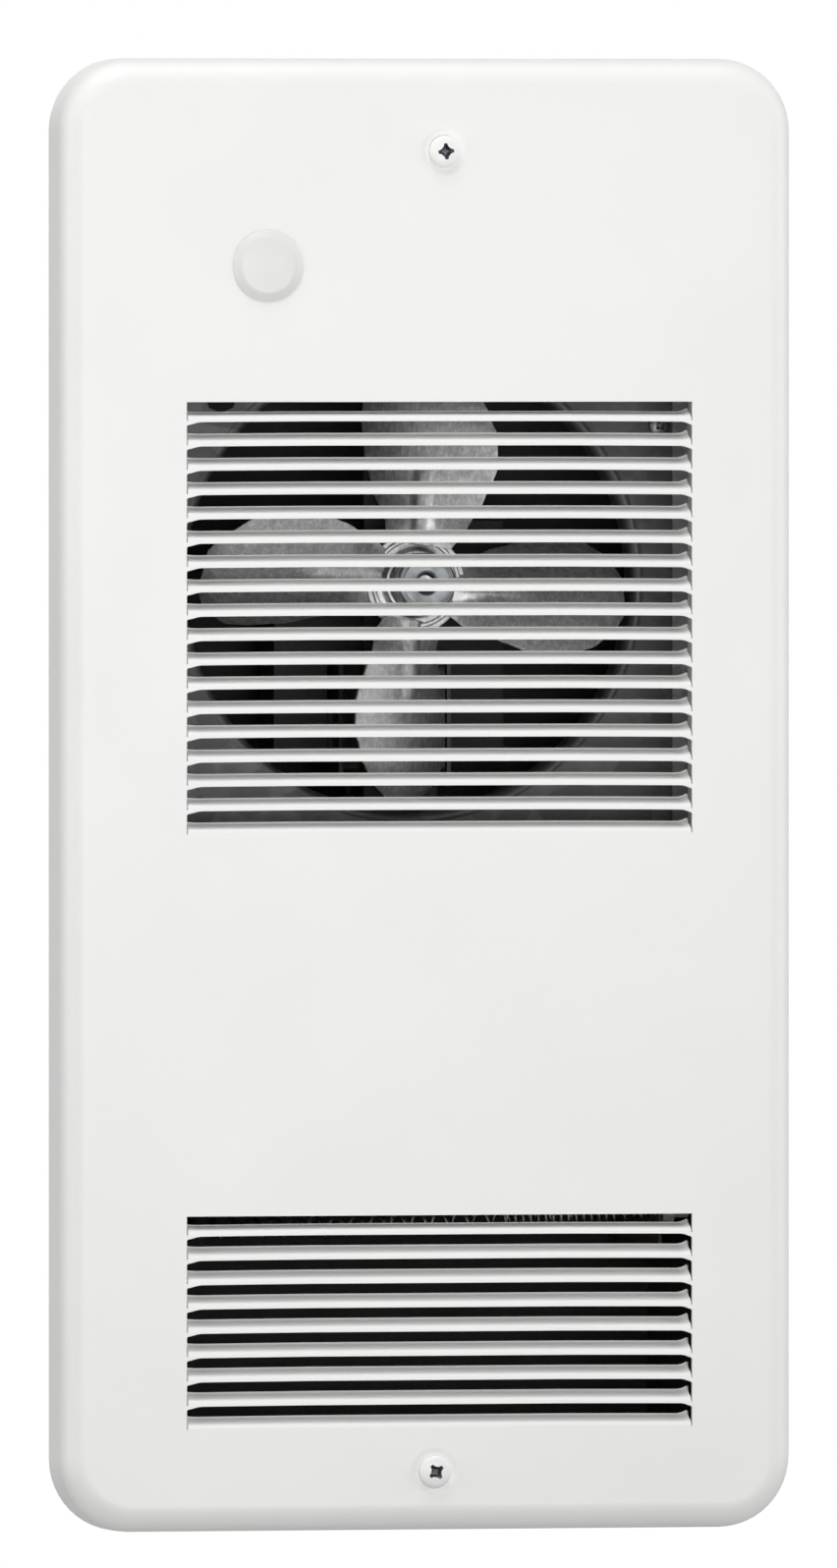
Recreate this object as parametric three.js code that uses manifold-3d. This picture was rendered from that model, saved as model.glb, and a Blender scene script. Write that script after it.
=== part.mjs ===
// Recessed bathroom wall fan heater. A sheet-steel box sits in the wall, a fan deck and a heating
// element are screwed into it, and a louvred front cover closes it on the room side.
// Millimetres, +Z up. The finished wall is the plane Y = 0 and the room is on the -Y side.
// Heights are written from the cover's lower edge; the last lines move the origin to the middle
// of the cover's lower rear rim, where the cover rests on the wall.

import * as THREE from 'three';
import { mergeVertices } from 'three/addons/utils/BufferGeometryUtils.js';
import Module from 'manifold-3d';

const wasm = await Module();
wasm.setup();

// ---------------------------------------------------------------- driving dimensions
const GAP = 0.3;                       // clearance between pieces that touch or run in each other
const HOLE_RADIUS = 2.2;               // clearance hole for the small sheet-metal screws

const COVER = { width: 260, height: 508, depth: 22, sheet: 1.2, cornerRadius: 25, edgeRadius: 9, rim: 10 };
const GRILLE = { centreX: 4.2, width: 179.8, pitch: 8.38, noseHeight: 2.04, noseLift: 1.45, easing: 6 };
const FLANGE = { depth: 5.3, bendRadius: 1.1, endRelief: 0.7 };   // bent in along each slot's lower edge
const INTAKE = { top: 389.5, slots: 18, flangeRise: 3.06 };
const OUTLET = { top: 108.8, slots: 9, flangeRise: 3.4 };

const PLUG = { x: -57.5, z: 436.5, flangeRadius: 12.5, holeRadius: 10.4, dome: 1.6, skirt: 8, wall: 1.4 };
const PLUG_SLIT = { width: 2, length: 5, fromSeat: 3.2 };
const COVER_SCREW = { headRadius: 5.5, headHeight: 2.4, shankRadius: 2.1, length: 30 };
const RECESS = { arm: 2.6, halfWidth: 0.55, depth: 1.5 };   // cross recess of the cover screws
const COVER_SCREW_TOP = { x: 5.2, z: 475.9 };
const COVER_SCREW_BOTTOM = { x: 1.7, z: 20.2 };

const BOX = { centreX: 4.2, width: 210, bottom: 28, top: 468, depth: 98, sheet: 1.2 };
const BOX_TAB = { width: 32, reach: 17 };
const LEDGE = { width: 19, front: 25.5, bottom: 145.6, top: 462 };
const KNOCKOUT = { radius: 11.1, y: 60, openX: 70, closedX: -60 };
const CLAMP = { halfWidth: 8, drop: 13.5, sheet: 1.5, mouthRadius: 5, footEnd: 30, screwX: 22 };
const GROUND_SCREW = { x: -80, z: 60 };
const STUD_HOLE = { radius: 2.6, y: 22, heights: [70, 426] };

const FAN = { x: 4.2, z: 326.8, planeY: 16, turnDeg: 7, sheet: 1.2 };
const BLADE = { pitchDeg: 40, neckPitchDeg: 18, neckEnd: 20, camber: 3.5, roundStart: 60 };
const FAN_CENTRE = { raised: 11, radius: 17.5, height: 3 };   // stamped centre of the fan
const HUB = { boss: 10.3, front: -1, neck: 5.5, flange: 9.5, flangeSheet: 2, tail: 6, tailLength: 10 };
const ORIFICE = { sides: 36, radius: 79.3, wall: 1.2, bell: 3.5, rear: 34 };
const DECK = { front: 24, sheet: 1.2, bottom: 114, top: 466, halfWidth: 94, footTop: 143 };
const SHELF = { front: -18, lip: 8 };   // turned forward along the deck's lower edge
const DECK_SCREW_X = 89.1;             // either side of the fan axis
const DECK_SCREW_Z = [381, 150];
const DECK_VENT = { x: -63, z: 391.5, radius: 6, sides: 8 };
const GROMMET = { hole: 6, lip: 8, bore: 4.6, bead: 2.5 };
const LEAD_GROMMET = { x: 86, z: 137 };
const SUPPLY_GROMMET = { x: 74, z: 456.5 };

const SHAFT = { radius: 3.175, front: 1.5, rear: 91 };
const BORE_RADIUS = SHAFT.radius + GAP;
const STACK = { front: 54, rear: 74, halfWidth: 41, top: 21, boreRadius: 13, bottom: -60 };
const WINDOW = { halfWidth: 22, top: -24, bottom: -44 };
const BOBBIN = { halfLength: 20, flange: 1.4, tube: 1.4, front: 9, bottom: -69.5, top: -24.8 };
const WINDING = { halfLength: 18.2, depth: 8, bottom: -68.5, top: -25.8, corner: 5, clearance: 1.8 };
const BRIDGE = { halfLength: 39, halfHeight: 10, standOff: 10, sheet: 2, leg: 12, legHalfHeight: 8, boss: 9 };
const BEARING = { radius: 6, length: 8.4, inset: 5 };
const MOTOR_SCREW_X = 33;
const STRAP = { front: 37, rear: 38.5, reach: 104, halfWidth: 13, footStart: 86, screwZ: 97 };
const STRAP_PAD = { halfWidth: 41, halfHeight: 11, holeRadius: 9.6 };

const THERMOSTAT = { halfWidth: 17, halfHeight: 15, front: -4, rear: 20, bush: 5, bushLength: 7, spindle: 3 };
const THERMOSTAT_BRACKET = { sheet: 1.2, halfWidth: 22, footEnd: 32, halfHeight: 11, screwX: 27 };
const THERMOSTAT_NUT = { radius: 8, thickness: 2.5 };
const LIMIT = { x: 50, z: 150, radius: 9, earReach: 17, earHalfHeight: 5, front: 12, sleeve: 4, button: 2.5 };
const LIMIT_TAB = { x: 6.5, halfSheet: 0.4, halfHeight: 3 };
const LIMIT_SCREW_X = 13;
const TERMINAL_BLOCK = { x: 62, z: 437, halfWidth: 22, halfHeight: 9, front: 8, step: 13.5, barrier: 2 };

const COIL = { radius: 3.5, sides: 8, pitch: 14, firstY: 36, runs: 4, midZ: 104.5, slope: 0.04 };
const MICA = { leftX: -86.6, rightX: 95, sheet: 1.2, bottom: 92, top: 126 };
const ELEMENT_FRAME = { front: 27.5, rear: 94.5, bottom: 116, top: 127, sheet: 1 };
const ELEMENT_SCREW = { x: 60, z: 121.5 };
const BEAD = { radius: 4.2, length: 4, postRadius: 2.4, postEnd: 9.5 };
const LEAD_RADIUS = 1.5;

// ---------------------------------------------------------------- materials
const finish = (color, roughness, metalness) => (
  new THREE.MeshStandardMaterial({ color, roughness, metalness }));
const whiteEnamel = finish(0xf1f1f0, 0.45, 0);
const whiteNylon = finish(0xeeeeec, 0.5, 0);
const galvanised = finish(0xa9adae, 0.45, 0.9);
const zincPlated = finish(0xb9bcbf, 0.35, 0.9);
const aluminium = finish(0xb4b5b6, 0.5, 0.95);
const groundSteel = finish(0x9c9ea1, 0.25, 1);
const electricalSteel = finish(0x4b4d50, 0.55, 0.8);
const copperWire = finish(0x8a4a25, 0.4, 0.6);
const nylonBlack = finish(0x222324, 0.5, 0);
const nylonNatural = finish(0xd9d3bf, 0.55, 0);
const bronze = finish(0x9a7040, 0.5, 0.9);
const nichrome = finish(0x5e5b58, 0.5, 0.9);
const mica = finish(0xb8ad97, 0.6, 0);
const porcelain = finish(0xe6e2d8, 0.35, 0);
const phenolic = finish(0x2a2320, 0.45, 0);
const redPlastic = finish(0xb01f1c, 0.4, 0);
const greenSteel = finish(0x2f7a3c, 0.4, 0.6);
const rubber = finish(0x1b1b1c, 0.8, 0);
const blackLead = finish(0x1d1d1f, 0.6, 0);
const redLead = finish(0x9e2320, 0.6, 0);
const whiteLead = finish(0xd8d8d4, 0.6, 0);

// ---------------------------------------------------------------- solids
// A closed triangle mesh with its shared corners merged and its zero-width triangles dropped.
function solidFrom(geometry) {
  const bare = geometry.clone();
  bare.deleteAttribute('normal');
  bare.deleteAttribute('uv');
  const merged = mergeVertices(bare, 1e-4);
  const corners = merged.index.array;
  const kept = [];
  for (let i = 0; i < corners.length; i += 3) {
    const [a, b, c] = [corners[i], corners[i + 1], corners[i + 2]];
    if (a !== b && b !== c && c !== a) kept.push(a, b, c);
  }
  const vertProperties = new Float32Array(merged.attributes.position.array);
  const triVerts = new Uint32Array(facingOut(vertProperties, kept));
  return new wasm.Manifold(new wasm.Mesh({ numProp: 3, vertProperties, triVerts }));
}

// Turns the triangles round where they enclose a negative volume.
function facingOut(points, corners) {
  const corner = (i) => new THREE.Vector3().fromArray(points, 3 * corners[i]);
  let volume = 0;
  for (let i = 0; i < corners.length; i += 3) {
    volume += corner(i).dot(corner(i + 1).cross(corner(i + 2)));
  }
  if (volume > 0) return corners;
  const turned = [];
  for (let i = 0; i < corners.length; i += 3) turned.push(corners[i], corners[i + 2], corners[i + 1]);
  return turned;
}

function geometryFrom(solid) {
  const mesh = solid.getMesh();
  const geometry = new THREE.BufferGeometry();
  geometry.setAttribute('position', new THREE.BufferAttribute(new Float32Array(mesh.vertProperties), 3));
  geometry.setIndex(new THREE.BufferAttribute(new Uint32Array(mesh.triVerts), 1));
  geometry.computeVertexNormals();
  return geometry;
}

const join = (first, ...others) => others.reduce((whole, next) => whole.add(next), first);
const cut = (first, ...others) => others.reduce((whole, next) => whole.subtract(next), first);

function block([x0, x1], [y0, y1], [z0, z1]) {
  const geometry = new THREE.BoxGeometry(x1 - x0, y1 - y0, z1 - z0);
  geometry.translate((x0 + x1) / 2, (y0 + y1) / 2, (z0 + z1) / 2);
  return solidFrom(geometry);
}

// A round bar along one axis; `centre` gives its place, `from` and `to` its ends on that axis.
function bar(axis, radius, from, to, centre, sides = 20) {
  const geometry = new THREE.CylinderGeometry(radius, radius, to - from, sides);
  if (axis === 'x') geometry.rotateZ(-Math.PI / 2);
  if (axis === 'z') geometry.rotateX(Math.PI / 2);
  const place = { x: centre[0], y: centre[1], z: centre[2] };
  place[axis] = (from + to) / 2;
  geometry.translate(place.x, place.y, place.z);
  return solidFrom(geometry);
}

// A profile of [radius, y] points turned about the Y axis through (x, z).
function turned(profile, x, z, sides = 20) {
  const geometry = new THREE.LatheGeometry(profile.map(([radius, y]) => new THREE.Vector2(radius, y)), sides);
  geometry.translate(x, 0, z);
  return solidFrom(geometry);
}

// A flat outline of [x, z] points with a thickness along Y.
function plate(outline, y0, y1) {
  const shape = new THREE.Shape(outline.map(([x, z]) => new THREE.Vector2(x, z)));
  const geometry = new THREE.ExtrudeGeometry(shape, { depth: y1 - y0, bevelEnabled: false });
  geometry.rotateX(Math.PI / 2);
  geometry.translate(0, y1, 0);
  return solidFrom(geometry);
}

// A section of [y, z] points drawn out along X.
function sheetAlongX(section, x0, x1) {
  const shape = new THREE.Shape(section.map(([y, z]) => new THREE.Vector2(y, z)));
  const geometry = new THREE.ExtrudeGeometry(shape, { depth: x1 - x0, bevelEnabled: false });
  geometry.applyMatrix4(new THREE.Matrix4().set(0, 0, 1, 0, 1, 0, 0, 0, 0, 1, 0, 0, 0, 0, 0, 1));
  geometry.translate(x0, 0, 0);
  return solidFrom(geometry);
}

// An insulated wire through hand-set points.
function wire(points, steps) {
  const sides = 6;
  const corners = points.map((point) => new THREE.Vector3(...point));
  const path = new THREE.CatmullRomCurve3(corners, false, 'catmullrom', 0.5);
  const section = new THREE.Shape(Array.from({ length: sides }, (_, side) => {
    const angle = (2 * Math.PI * side) / sides;
    return new THREE.Vector2(LEAD_RADIUS * Math.cos(angle), LEAD_RADIUS * Math.sin(angle));
  }));
  return solidFrom(new THREE.ExtrudeGeometry(section, { steps, bevelEnabled: false, extrudePath: path }));
}

// A screw along Y with its head towards the room; `under` is the Y of the face below the head.
function screw({ x, z, under, headRadius = 4, headHeight = 2.2, shankRadius = 1.9, length, sides = 10 }) {
  const crown = under - headHeight;
  return turned([
    [0, crown],
    [headRadius * 0.6, crown],
    [headRadius, under - headHeight * 0.35],
    [headRadius, under],
    [shankRadius, under],
    [shankRadius, under + length],
    [0, under + length],
  ], x, z, sides);
}

const heater = new THREE.Group();
const fanRotor = new THREE.Group();
heater.add(fanRotor);

function addPiece(name, solid, material, group = heater) {
  const mesh = new THREE.Mesh(geometryFrom(solid), material);
  mesh.name = name;
  group.add(mesh);
}

// ---------------------------------------------------------------- front cover
// One closed ring of points round a rounded rectangle that is `inset` inside the cover's outline.
function coverRing(inset, y) {
  const cornerSteps = 8;
  const halfWidth = COVER.width / 2 - inset;
  const halfHeight = COVER.height / 2 - inset;
  const radius = Math.max(COVER.cornerRadius - inset, 1);
  const points = [];
  const corners = [[1, 1], [-1, 1], [-1, -1], [1, -1]];
  corners.forEach(([sideX, sideZ], quarter) => {
    for (let step = 0; step <= cornerSteps; step += 1) {
      const angle = (Math.PI / 2) * (quarter + step / cornerSteps);
      const x = sideX * (halfWidth - radius) + radius * Math.cos(angle);
      const z = COVER.height / 2 + sideZ * (halfHeight - radius) + radius * Math.sin(angle);
      points.push([x, y, z]);
    }
  });
  return points;
}

// A solid through rings of equal point counts, closed at both ends by a fan of triangles.
function loft(rings) {
  const count = rings[0].length;
  const points = rings.flat();
  const corners = [];
  for (let level = 0; level + 1 < rings.length; level += 1) {
    for (let i = 0; i < count; i += 1) {
      const a = level * count + i;
      const b = level * count + ((i + 1) % count);
      corners.push(a, b, b + count, a, b + count, a + count);
    }
  }
  const ends = [[0, rings[0]], [(rings.length - 1) * count, rings[rings.length - 1]]];
  ends.forEach(([first, ring], end) => {
    const middle = points.length;
    points.push([0, ring[0][1], COVER.height / 2]);
    for (let i = 0; i < count; i += 1) {
      const a = first + i;
      const b = first + ((i + 1) % count);
      corners.push(...(end === 0 ? [middle, b, a] : [middle, a, b]));
    }
  });
  const geometry = new THREE.BufferGeometry();
  geometry.setAttribute('position', new THREE.Float32BufferAttribute(points.flat(), 3));
  geometry.setIndex(corners);
  return solidFrom(geometry);
}

// The dish shape of the cover, or of the space inside it when `inset` is the sheet thickness.
function dish(inset, rear) {
  const bendSteps = 5;
  const bend = COVER.edgeRadius - inset;
  const front = -(COVER.depth - inset);
  const rings = [coverRing(inset, rear)];
  for (let step = 0; step <= bendSteps; step += 1) {
    const angle = (Math.PI / 2) * (step / bendSteps);
    const drawnIn = inset + bend * (1 - Math.cos(angle));
    rings.push(coverRing(drawnIn, front + bend * (1 - Math.sin(angle))));
  }
  return loft(rings);
}

// The slots of one grille, as cutters, and the flanges bent in and up along each slot's lower edge.
function grilleParts({ top, slots, flangeRise }) {
  const left = GRILLE.centreX - GRILLE.width / 2;
  const right = GRILLE.centreX + GRILLE.width / 2;
  const cutters = [];
  const flanges = [];
  const face = -COVER.depth;
  const back = face + COVER.sheet;
  const tilt = Math.atan2(flangeRise, FLANGE.depth);
  const [thickY, thickZ] = [COVER.sheet * Math.sin(tilt), COVER.sheet * Math.cos(tilt)];
  for (let slot = 0; slot < slots; slot += 1) {
    const slit = top - slot * GRILLE.pitch;
    const bendLine = slit - GRILLE.pitch + GRILLE.noseLift + GRILLE.noseHeight;
    const lift = slot === 0 ? 0 : GRILLE.noseLift;
    const outline = [[left, bendLine], [right, bendLine], [right, slit]];
    if (lift > 0) outline.push([right - GRILLE.easing, slit + lift], [left + GRILLE.easing, slit + lift]);
    outline.push([left, slit]);
    cutters.push(plate(outline, face - 1, back + 1));
    flanges.push(sheetAlongX([
      [face, bendLine - FLANGE.bendRadius],
      [face + FLANGE.bendRadius / 3, bendLine],
      [face + FLANGE.depth, bendLine + flangeRise],
      [face + FLANGE.depth + thickY, bendLine + flangeRise - thickZ],
      [back, bendLine - FLANGE.bendRadius],
    ], left + FLANGE.endRelief, right - FLANGE.endRelief));
  }
  return { cutters, flanges };
}

function makeFrontCover() {
  const shell = cut(dish(0, 0), dish(COVER.sheet, -COVER.sheet), loft([
    coverRing(COVER.rim, 1),
    coverRing(COVER.rim, -2 * COVER.sheet),
  ]));
  const intake = grilleParts(INTAKE);
  const outlet = grilleParts(OUTLET);
  const through = [-COVER.depth - 1, -COVER.depth + COVER.sheet + 1];
  const holes = [
    bar('y', PLUG.holeRadius, ...through, [PLUG.x, 0, PLUG.z], 24),
    bar('y', COVER_SCREW.shankRadius + GAP, ...through, [COVER_SCREW_TOP.x, 0, COVER_SCREW_TOP.z], 12),
    bar('y', COVER_SCREW.shankRadius + GAP, ...through, [COVER_SCREW_BOTTOM.x, 0, COVER_SCREW_BOTTOM.z], 12),
  ];
  const open = cut(shell, ...holes, ...intake.cutters, ...outlet.cutters);
  return join(open, ...intake.flanges, ...outlet.flanges);
}

function makeCoverScrew({ x, z }) {
  const { arm, halfWidth, depth } = RECESS;
  const crown = -COVER.depth - GAP - COVER_SCREW.headHeight;
  const driver = [[arm, halfWidth], [halfWidth, arm]].map(([halfX, halfZ]) => (
    block([x - halfX, x + halfX], [crown - 1, crown + depth], [z - halfZ, z + halfZ])));
  return cut(screw({ x, z, under: -COVER.depth - GAP, ...COVER_SCREW, sides: 20 }), ...driver);
}

// A snap plug: a domed flange on the cover's face and a hollow skirt with three slits through the hole.
function makeControlHolePlug() {
  const seat = -COVER.depth - GAP;
  const outer = PLUG.holeRadius - GAP;
  const inner = outer - PLUG.wall;
  const mouth = seat + PLUG.skirt;
  const body = turned([
    [0, seat - PLUG.dome],
    [PLUG.flangeRadius * 0.5, seat - PLUG.dome * 0.9],
    [PLUG.flangeRadius * 0.85, seat - PLUG.dome * 0.6],
    [PLUG.flangeRadius, seat - GAP],
    [PLUG.flangeRadius, seat],
    [outer, seat],
    [outer - GAP, mouth],
    [inner - GAP, mouth],
    [inner, seat + GAP],
    [0, seat + GAP],
  ], PLUG.x, PLUG.z, 28);
  const slits = [0, 60, 120].map((degrees) => {
    const slit = new THREE.BoxGeometry(3 * outer, PLUG_SLIT.length, PLUG_SLIT.width);
    slit.rotateY(THREE.MathUtils.degToRad(degrees));
    slit.translate(PLUG.x, seat + PLUG_SLIT.fromSeat + PLUG_SLIT.length / 2, PLUG.z);
    return solidFrom(slit);
  });
  return cut(body, ...slits);
}

// ---------------------------------------------------------------- box in the wall
const boxLeft = BOX.centreX - BOX.width / 2;
const boxRight = BOX.centreX + BOX.width / 2;

function makeWallBox() {
  const t = BOX.sheet;
  const outside = block([boxLeft, boxRight], [0, BOX.depth], [BOX.bottom, BOX.top]);
  const inside = block([boxLeft + t, boxRight - t], [-1, BOX.depth - t], [BOX.bottom + t, BOX.top - t]);
  const tabX = [BOX.centreX - BOX_TAB.width / 2, BOX.centreX + BOX_TAB.width / 2];
  const tabs = [
    block(tabX, [0, t], [BOX.top - t, BOX.top + BOX_TAB.reach]),
    block(tabX, [0, t], [BOX.bottom - BOX_TAB.reach, BOX.bottom + t]),
  ];
  const ledgeY = [LEDGE.front, LEDGE.front + t];
  const ledgeZ = [LEDGE.bottom, LEDGE.top];
  const ledges = [
    block([boxLeft + t / 2, boxLeft + t + LEDGE.width], ledgeY, ledgeZ),
    block([boxRight - t - LEDGE.width, boxRight - t / 2], ledgeY, ledgeZ),
  ];
  const screwHole = ({ x, z }) => bar('y', COVER_SCREW.shankRadius + GAP, -1, t + 1, [x, 0, z], 12);
  const ledgeHole = (x, z, radius) => bar('y', radius, LEDGE.front - 1, LEDGE.front + t + 1, [x, 0, z], 12);
  const ledgeHoles = DECK_SCREW_Z.flatMap((z) => [-DECK_SCREW_X, DECK_SCREW_X].map((side) => (
    ledgeHole(FAN.x + side, z, HOLE_RADIUS))));
  const thermostatRelief = ledgeHole(PLUG.x - THERMOSTAT_BRACKET.screwX, PLUG.z, 2 * HOLE_RADIUS);
  const studHoles = STUD_HOLE.heights.flatMap((z) => [boxLeft, boxRight].map((x) => (
    bar('x', STUD_HOLE.radius, x - 3, x + 3, [0, STUD_HOLE.y, z], 12))));
  const knockout = (x, z) => bar('z', KNOCKOUT.radius + GAP, z - 3, z + 3, [x, KNOCKOUT.y, 0], 24);
  const { x: groundX, z: groundZ } = GROUND_SCREW;
  const groundHole = bar('y', HOLE_RADIUS, BOX.depth - 3, BOX.depth + 1, [groundX, 0, groundZ], 12);
  return cut(
    join(cut(outside, inside), ...tabs, ...ledges),
    screwHole(COVER_SCREW_TOP), screwHole(COVER_SCREW_BOTTOM),
    knockout(KNOCKOUT.openX, BOX.top), knockout(KNOCKOUT.closedX, BOX.bottom),
    ...ledgeHoles, thermostatRelief, ...studHoles, groundHole,
  );
}

// A saddle that grips the supply cable beside the open knockout.
function makeCableClamp() {
  const [x, y] = [KNOCKOUT.openX, KNOCKOUT.y];
  const { halfWidth, drop, sheet, mouthRadius, footEnd, screwX } = CLAMP;
  const top = BOX.top - BOX.sheet - GAP;
  const [jawTop, riserX] = [top - drop + sheet, x + footEnd - 2 * halfWidth];
  const depth = [y - halfWidth, y + halfWidth];
  const foot = block([riserX, x + footEnd], depth, [top - sheet, top]);
  const riser = block([riserX, riserX + sheet], depth, [jawTop, top]);
  const jaw = block([x - 10, riserX + sheet], depth, [top - drop, jawTop]);
  const mouth = bar('y', mouthRadius, y - halfWidth - 1, y + halfWidth + 1, [x, 0, jawTop + 4.2], 16);
  const hole = bar('z', HOLE_RADIUS, top - 3, top + 1, [x + screwX, y, 0], 12);
  return cut(join(foot, riser, jaw), mouth, hole);
}

// A screw put in upwards through the clamp's foot, with its head below.
function makeClampScrew() {
  const [headRadius, headHeight, shankRadius, length] = [4, 2.5, 1.9, 1.5];
  const geometry = new THREE.LatheGeometry([
    [0, -headHeight],
    [headRadius, -headHeight],
    [headRadius, 0],
    [shankRadius, 0],
    [shankRadius, length],
    [0, length],
  ].map(([radius, z]) => new THREE.Vector2(radius, z)), 10);
  geometry.rotateX(Math.PI / 2);
  geometry.translate(KNOCKOUT.openX + CLAMP.screwX, KNOCKOUT.y, BOX.top - BOX.sheet - CLAMP.sheet - 2 * GAP);
  return solidFrom(geometry);
}

const makeKnockoutSlug = () => (
  bar('z', KNOCKOUT.radius, BOX.bottom, BOX.bottom + BOX.sheet, [KNOCKOUT.closedX, KNOCKOUT.y, 0], 24));

const makeGroundScrew = () => (
  screw({ ...GROUND_SCREW, under: BOX.depth - BOX.sheet - GAP, headRadius: 5, length: 1.4 }));

// ---------------------------------------------------------------- fan deck
const deckRear = DECK.front + DECK.sheet;
const onDeck = DECK.front - GAP;        // rear face of what is screwed to the deck's front
const insideBox = [boxLeft + BOX.sheet + 0.4, boxRight - BOX.sheet - 0.4];   // with room to slide in

function makeFanDeck() {
  const { front, sheet, bottom, top, halfWidth, footTop } = DECK;
  const bellOuter = ORIFICE.radius + ORIFICE.wall + ORIFICE.bell;
  const wall = block([FAN.x - halfWidth, FAN.x + halfWidth], [front, deckRear], [bottom, top]);
  const foot = block(insideBox, [front, deckRear], [bottom, footTop]);
  const shelf = block(insideBox, [SHELF.front, deckRear], [bottom, bottom + sheet]);
  const lip = block(insideBox, [SHELF.front, SHELF.front + sheet], [bottom, bottom + SHELF.lip]);
  const bell = turned([
    [bellOuter, deckRear],
    [ORIFICE.radius + ORIFICE.wall, deckRear + 3],
    [ORIFICE.radius + ORIFICE.wall, ORIFICE.rear],
    [ORIFICE.radius, ORIFICE.rear],
    [ORIFICE.radius, deckRear + 2],
    [bellOuter - ORIFICE.wall, front],
    [bellOuter, front],
    [bellOuter, deckRear],
  ], FAN.x, FAN.z, ORIFICE.sides);
  const fanAxis = [FAN.x, 0, FAN.z];
  const opening = bar('y', bellOuter - ORIFICE.wall / 2, front - 1, deckRear + 1, fanAxis, ORIFICE.sides);
  const hole = (x, z, radius, sides = 14) => bar('y', radius, front - 1, deckRear + 1, [x, 0, z], sides);
  const screwPlaces = [
    ...DECK_SCREW_Z.flatMap((z) => [-DECK_SCREW_X, DECK_SCREW_X].map((side) => [FAN.x + side, z])),
    ...[-STRAP.screwZ, STRAP.screwZ].map((z) => [FAN.x, FAN.z + z]),
    ...[-LIMIT_SCREW_X, LIMIT_SCREW_X].map((x) => [LIMIT.x + x, LIMIT.z]),
    ...[-THERMOSTAT_BRACKET.screwX, THERMOSTAT_BRACKET.screwX].map((x) => [PLUG.x + x, PLUG.z]),
    ...[-ELEMENT_SCREW.x, ELEMENT_SCREW.x].map((x) => [x, ELEMENT_SCREW.z]),
  ];
  const holes = [
    ...screwPlaces.map(([x, z]) => hole(x, z, HOLE_RADIUS)),
    ...[LEAD_GROMMET, SUPPLY_GROMMET].map(({ x, z }) => hole(x, z, GROMMET.hole)),
    hole(LIMIT.x, LIMIT.z, LIMIT.radius + GAP),
    hole(DECK_VENT.x, DECK_VENT.z, DECK_VENT.radius, DECK_VENT.sides),
  ];
  return join(cut(join(wall, foot, shelf, lip), opening, ...holes), bell);
}

// A rubber ring sprung into a hole of the deck.
function makeGrommet({ x, z }) {
  const { hole, lip, bore, bead } = GROMMET;
  const groove = hole - GAP;
  return turned([
    [bore, DECK.front - bead],
    [lip, DECK.front - bead + 0.5],
    [lip, DECK.front - GAP],
    [groove, DECK.front - GAP],
    [groove, deckRear + GAP],
    [lip, deckRear + GAP],
    [lip, deckRear + bead - 0.5],
    [bore, deckRear + bead],
    [bore, DECK.front - bead],
  ], x, z, 16);
}

// ---------------------------------------------------------------- fan
// Blade width along its length, as [radius, to the leading edge, to the trailing edge]: a narrow neck,
// then a broad blade whose leading edge is rounded off sooner than its trailing one.
// The pitch is shallower inside neckEnd, and the corners are drawn in outside roundStart.
const BLADE_STATIONS = [
  [13, 11, 11], [20, 16, 13], [30, 22.5, 20], [42, 26.4, 25],
  [54, 25, 27.5], [63, 20, 28], [71, 11, 23], [75, 3, 14],
];

function makeBlade(index) {
  const acrossSteps = 4;
  const widest = Math.max(...BLADE_STATIONS.map(([, leading, trailing]) => leading + trailing));
  const lower = [];
  const upper = [];
  BLADE_STATIONS.forEach(([radius, leading, trailing]) => {
    const pitch = THREE.MathUtils.degToRad(radius < BLADE.neckEnd ? BLADE.neckPitchDeg : BLADE.pitchDeg);
    const drawnIn = radius > BLADE.roundStart ? 0.5 : 0;
    for (let step = 0; step <= acrossSteps; step += 1) {
      const across = step / acrossSteps;
      const lift = 4 * BLADE.camber * across * (1 - across) * ((leading + trailing) / widest);
      const chord = across * (leading + trailing) - trailing;
      const x = chord * Math.cos(pitch) - lift * Math.sin(pitch);
      const y = -chord * Math.sin(pitch) - lift * Math.cos(pitch);
      const reach = Math.sqrt(radius * radius - drawnIn * x * x);
      lower.push([x, y - FAN.sheet / 2, reach]);
      upper.push([x, y + FAN.sheet / 2, reach]);
    }
  });
  const columns = acrossSteps + 1;
  const rows = BLADE_STATIONS.length;
  const points = [...lower, ...upper];
  const top = lower.length;
  const corners = [];
  const quad = (a, b, c, d) => corners.push(a, b, c, a, c, d);
  for (let row = 0; row + 1 < rows; row += 1) {
    for (let column = 0; column + 1 < columns; column += 1) {
      const a = row * columns + column;
      quad(a, a + 1, a + columns + 1, a + columns);
      quad(top + a, top + a + columns, top + a + columns + 1, top + a + 1);
    }
    const start = row * columns;
    const end = start + columns - 1;
    quad(start, start + columns, top + start + columns, top + start);
    quad(end, top + end, top + end + columns, end + columns);
  }
  for (let column = 0; column + 1 < columns; column += 1) {
    const tip = (rows - 1) * columns + column;
    quad(column, top + column, top + column + 1, column + 1);
    quad(tip, tip + 1, top + tip + 1, top + tip);
  }
  const geometry = new THREE.BufferGeometry();
  geometry.setAttribute('position', new THREE.Float32BufferAttribute(points.flat(), 3));
  geometry.setIndex(corners);
  geometry.rotateY(THREE.MathUtils.degToRad(FAN.turnDeg + 90 * index));
  geometry.translate(FAN.x, FAN.planeY, FAN.z);
  return solidFrom(geometry);
}

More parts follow.
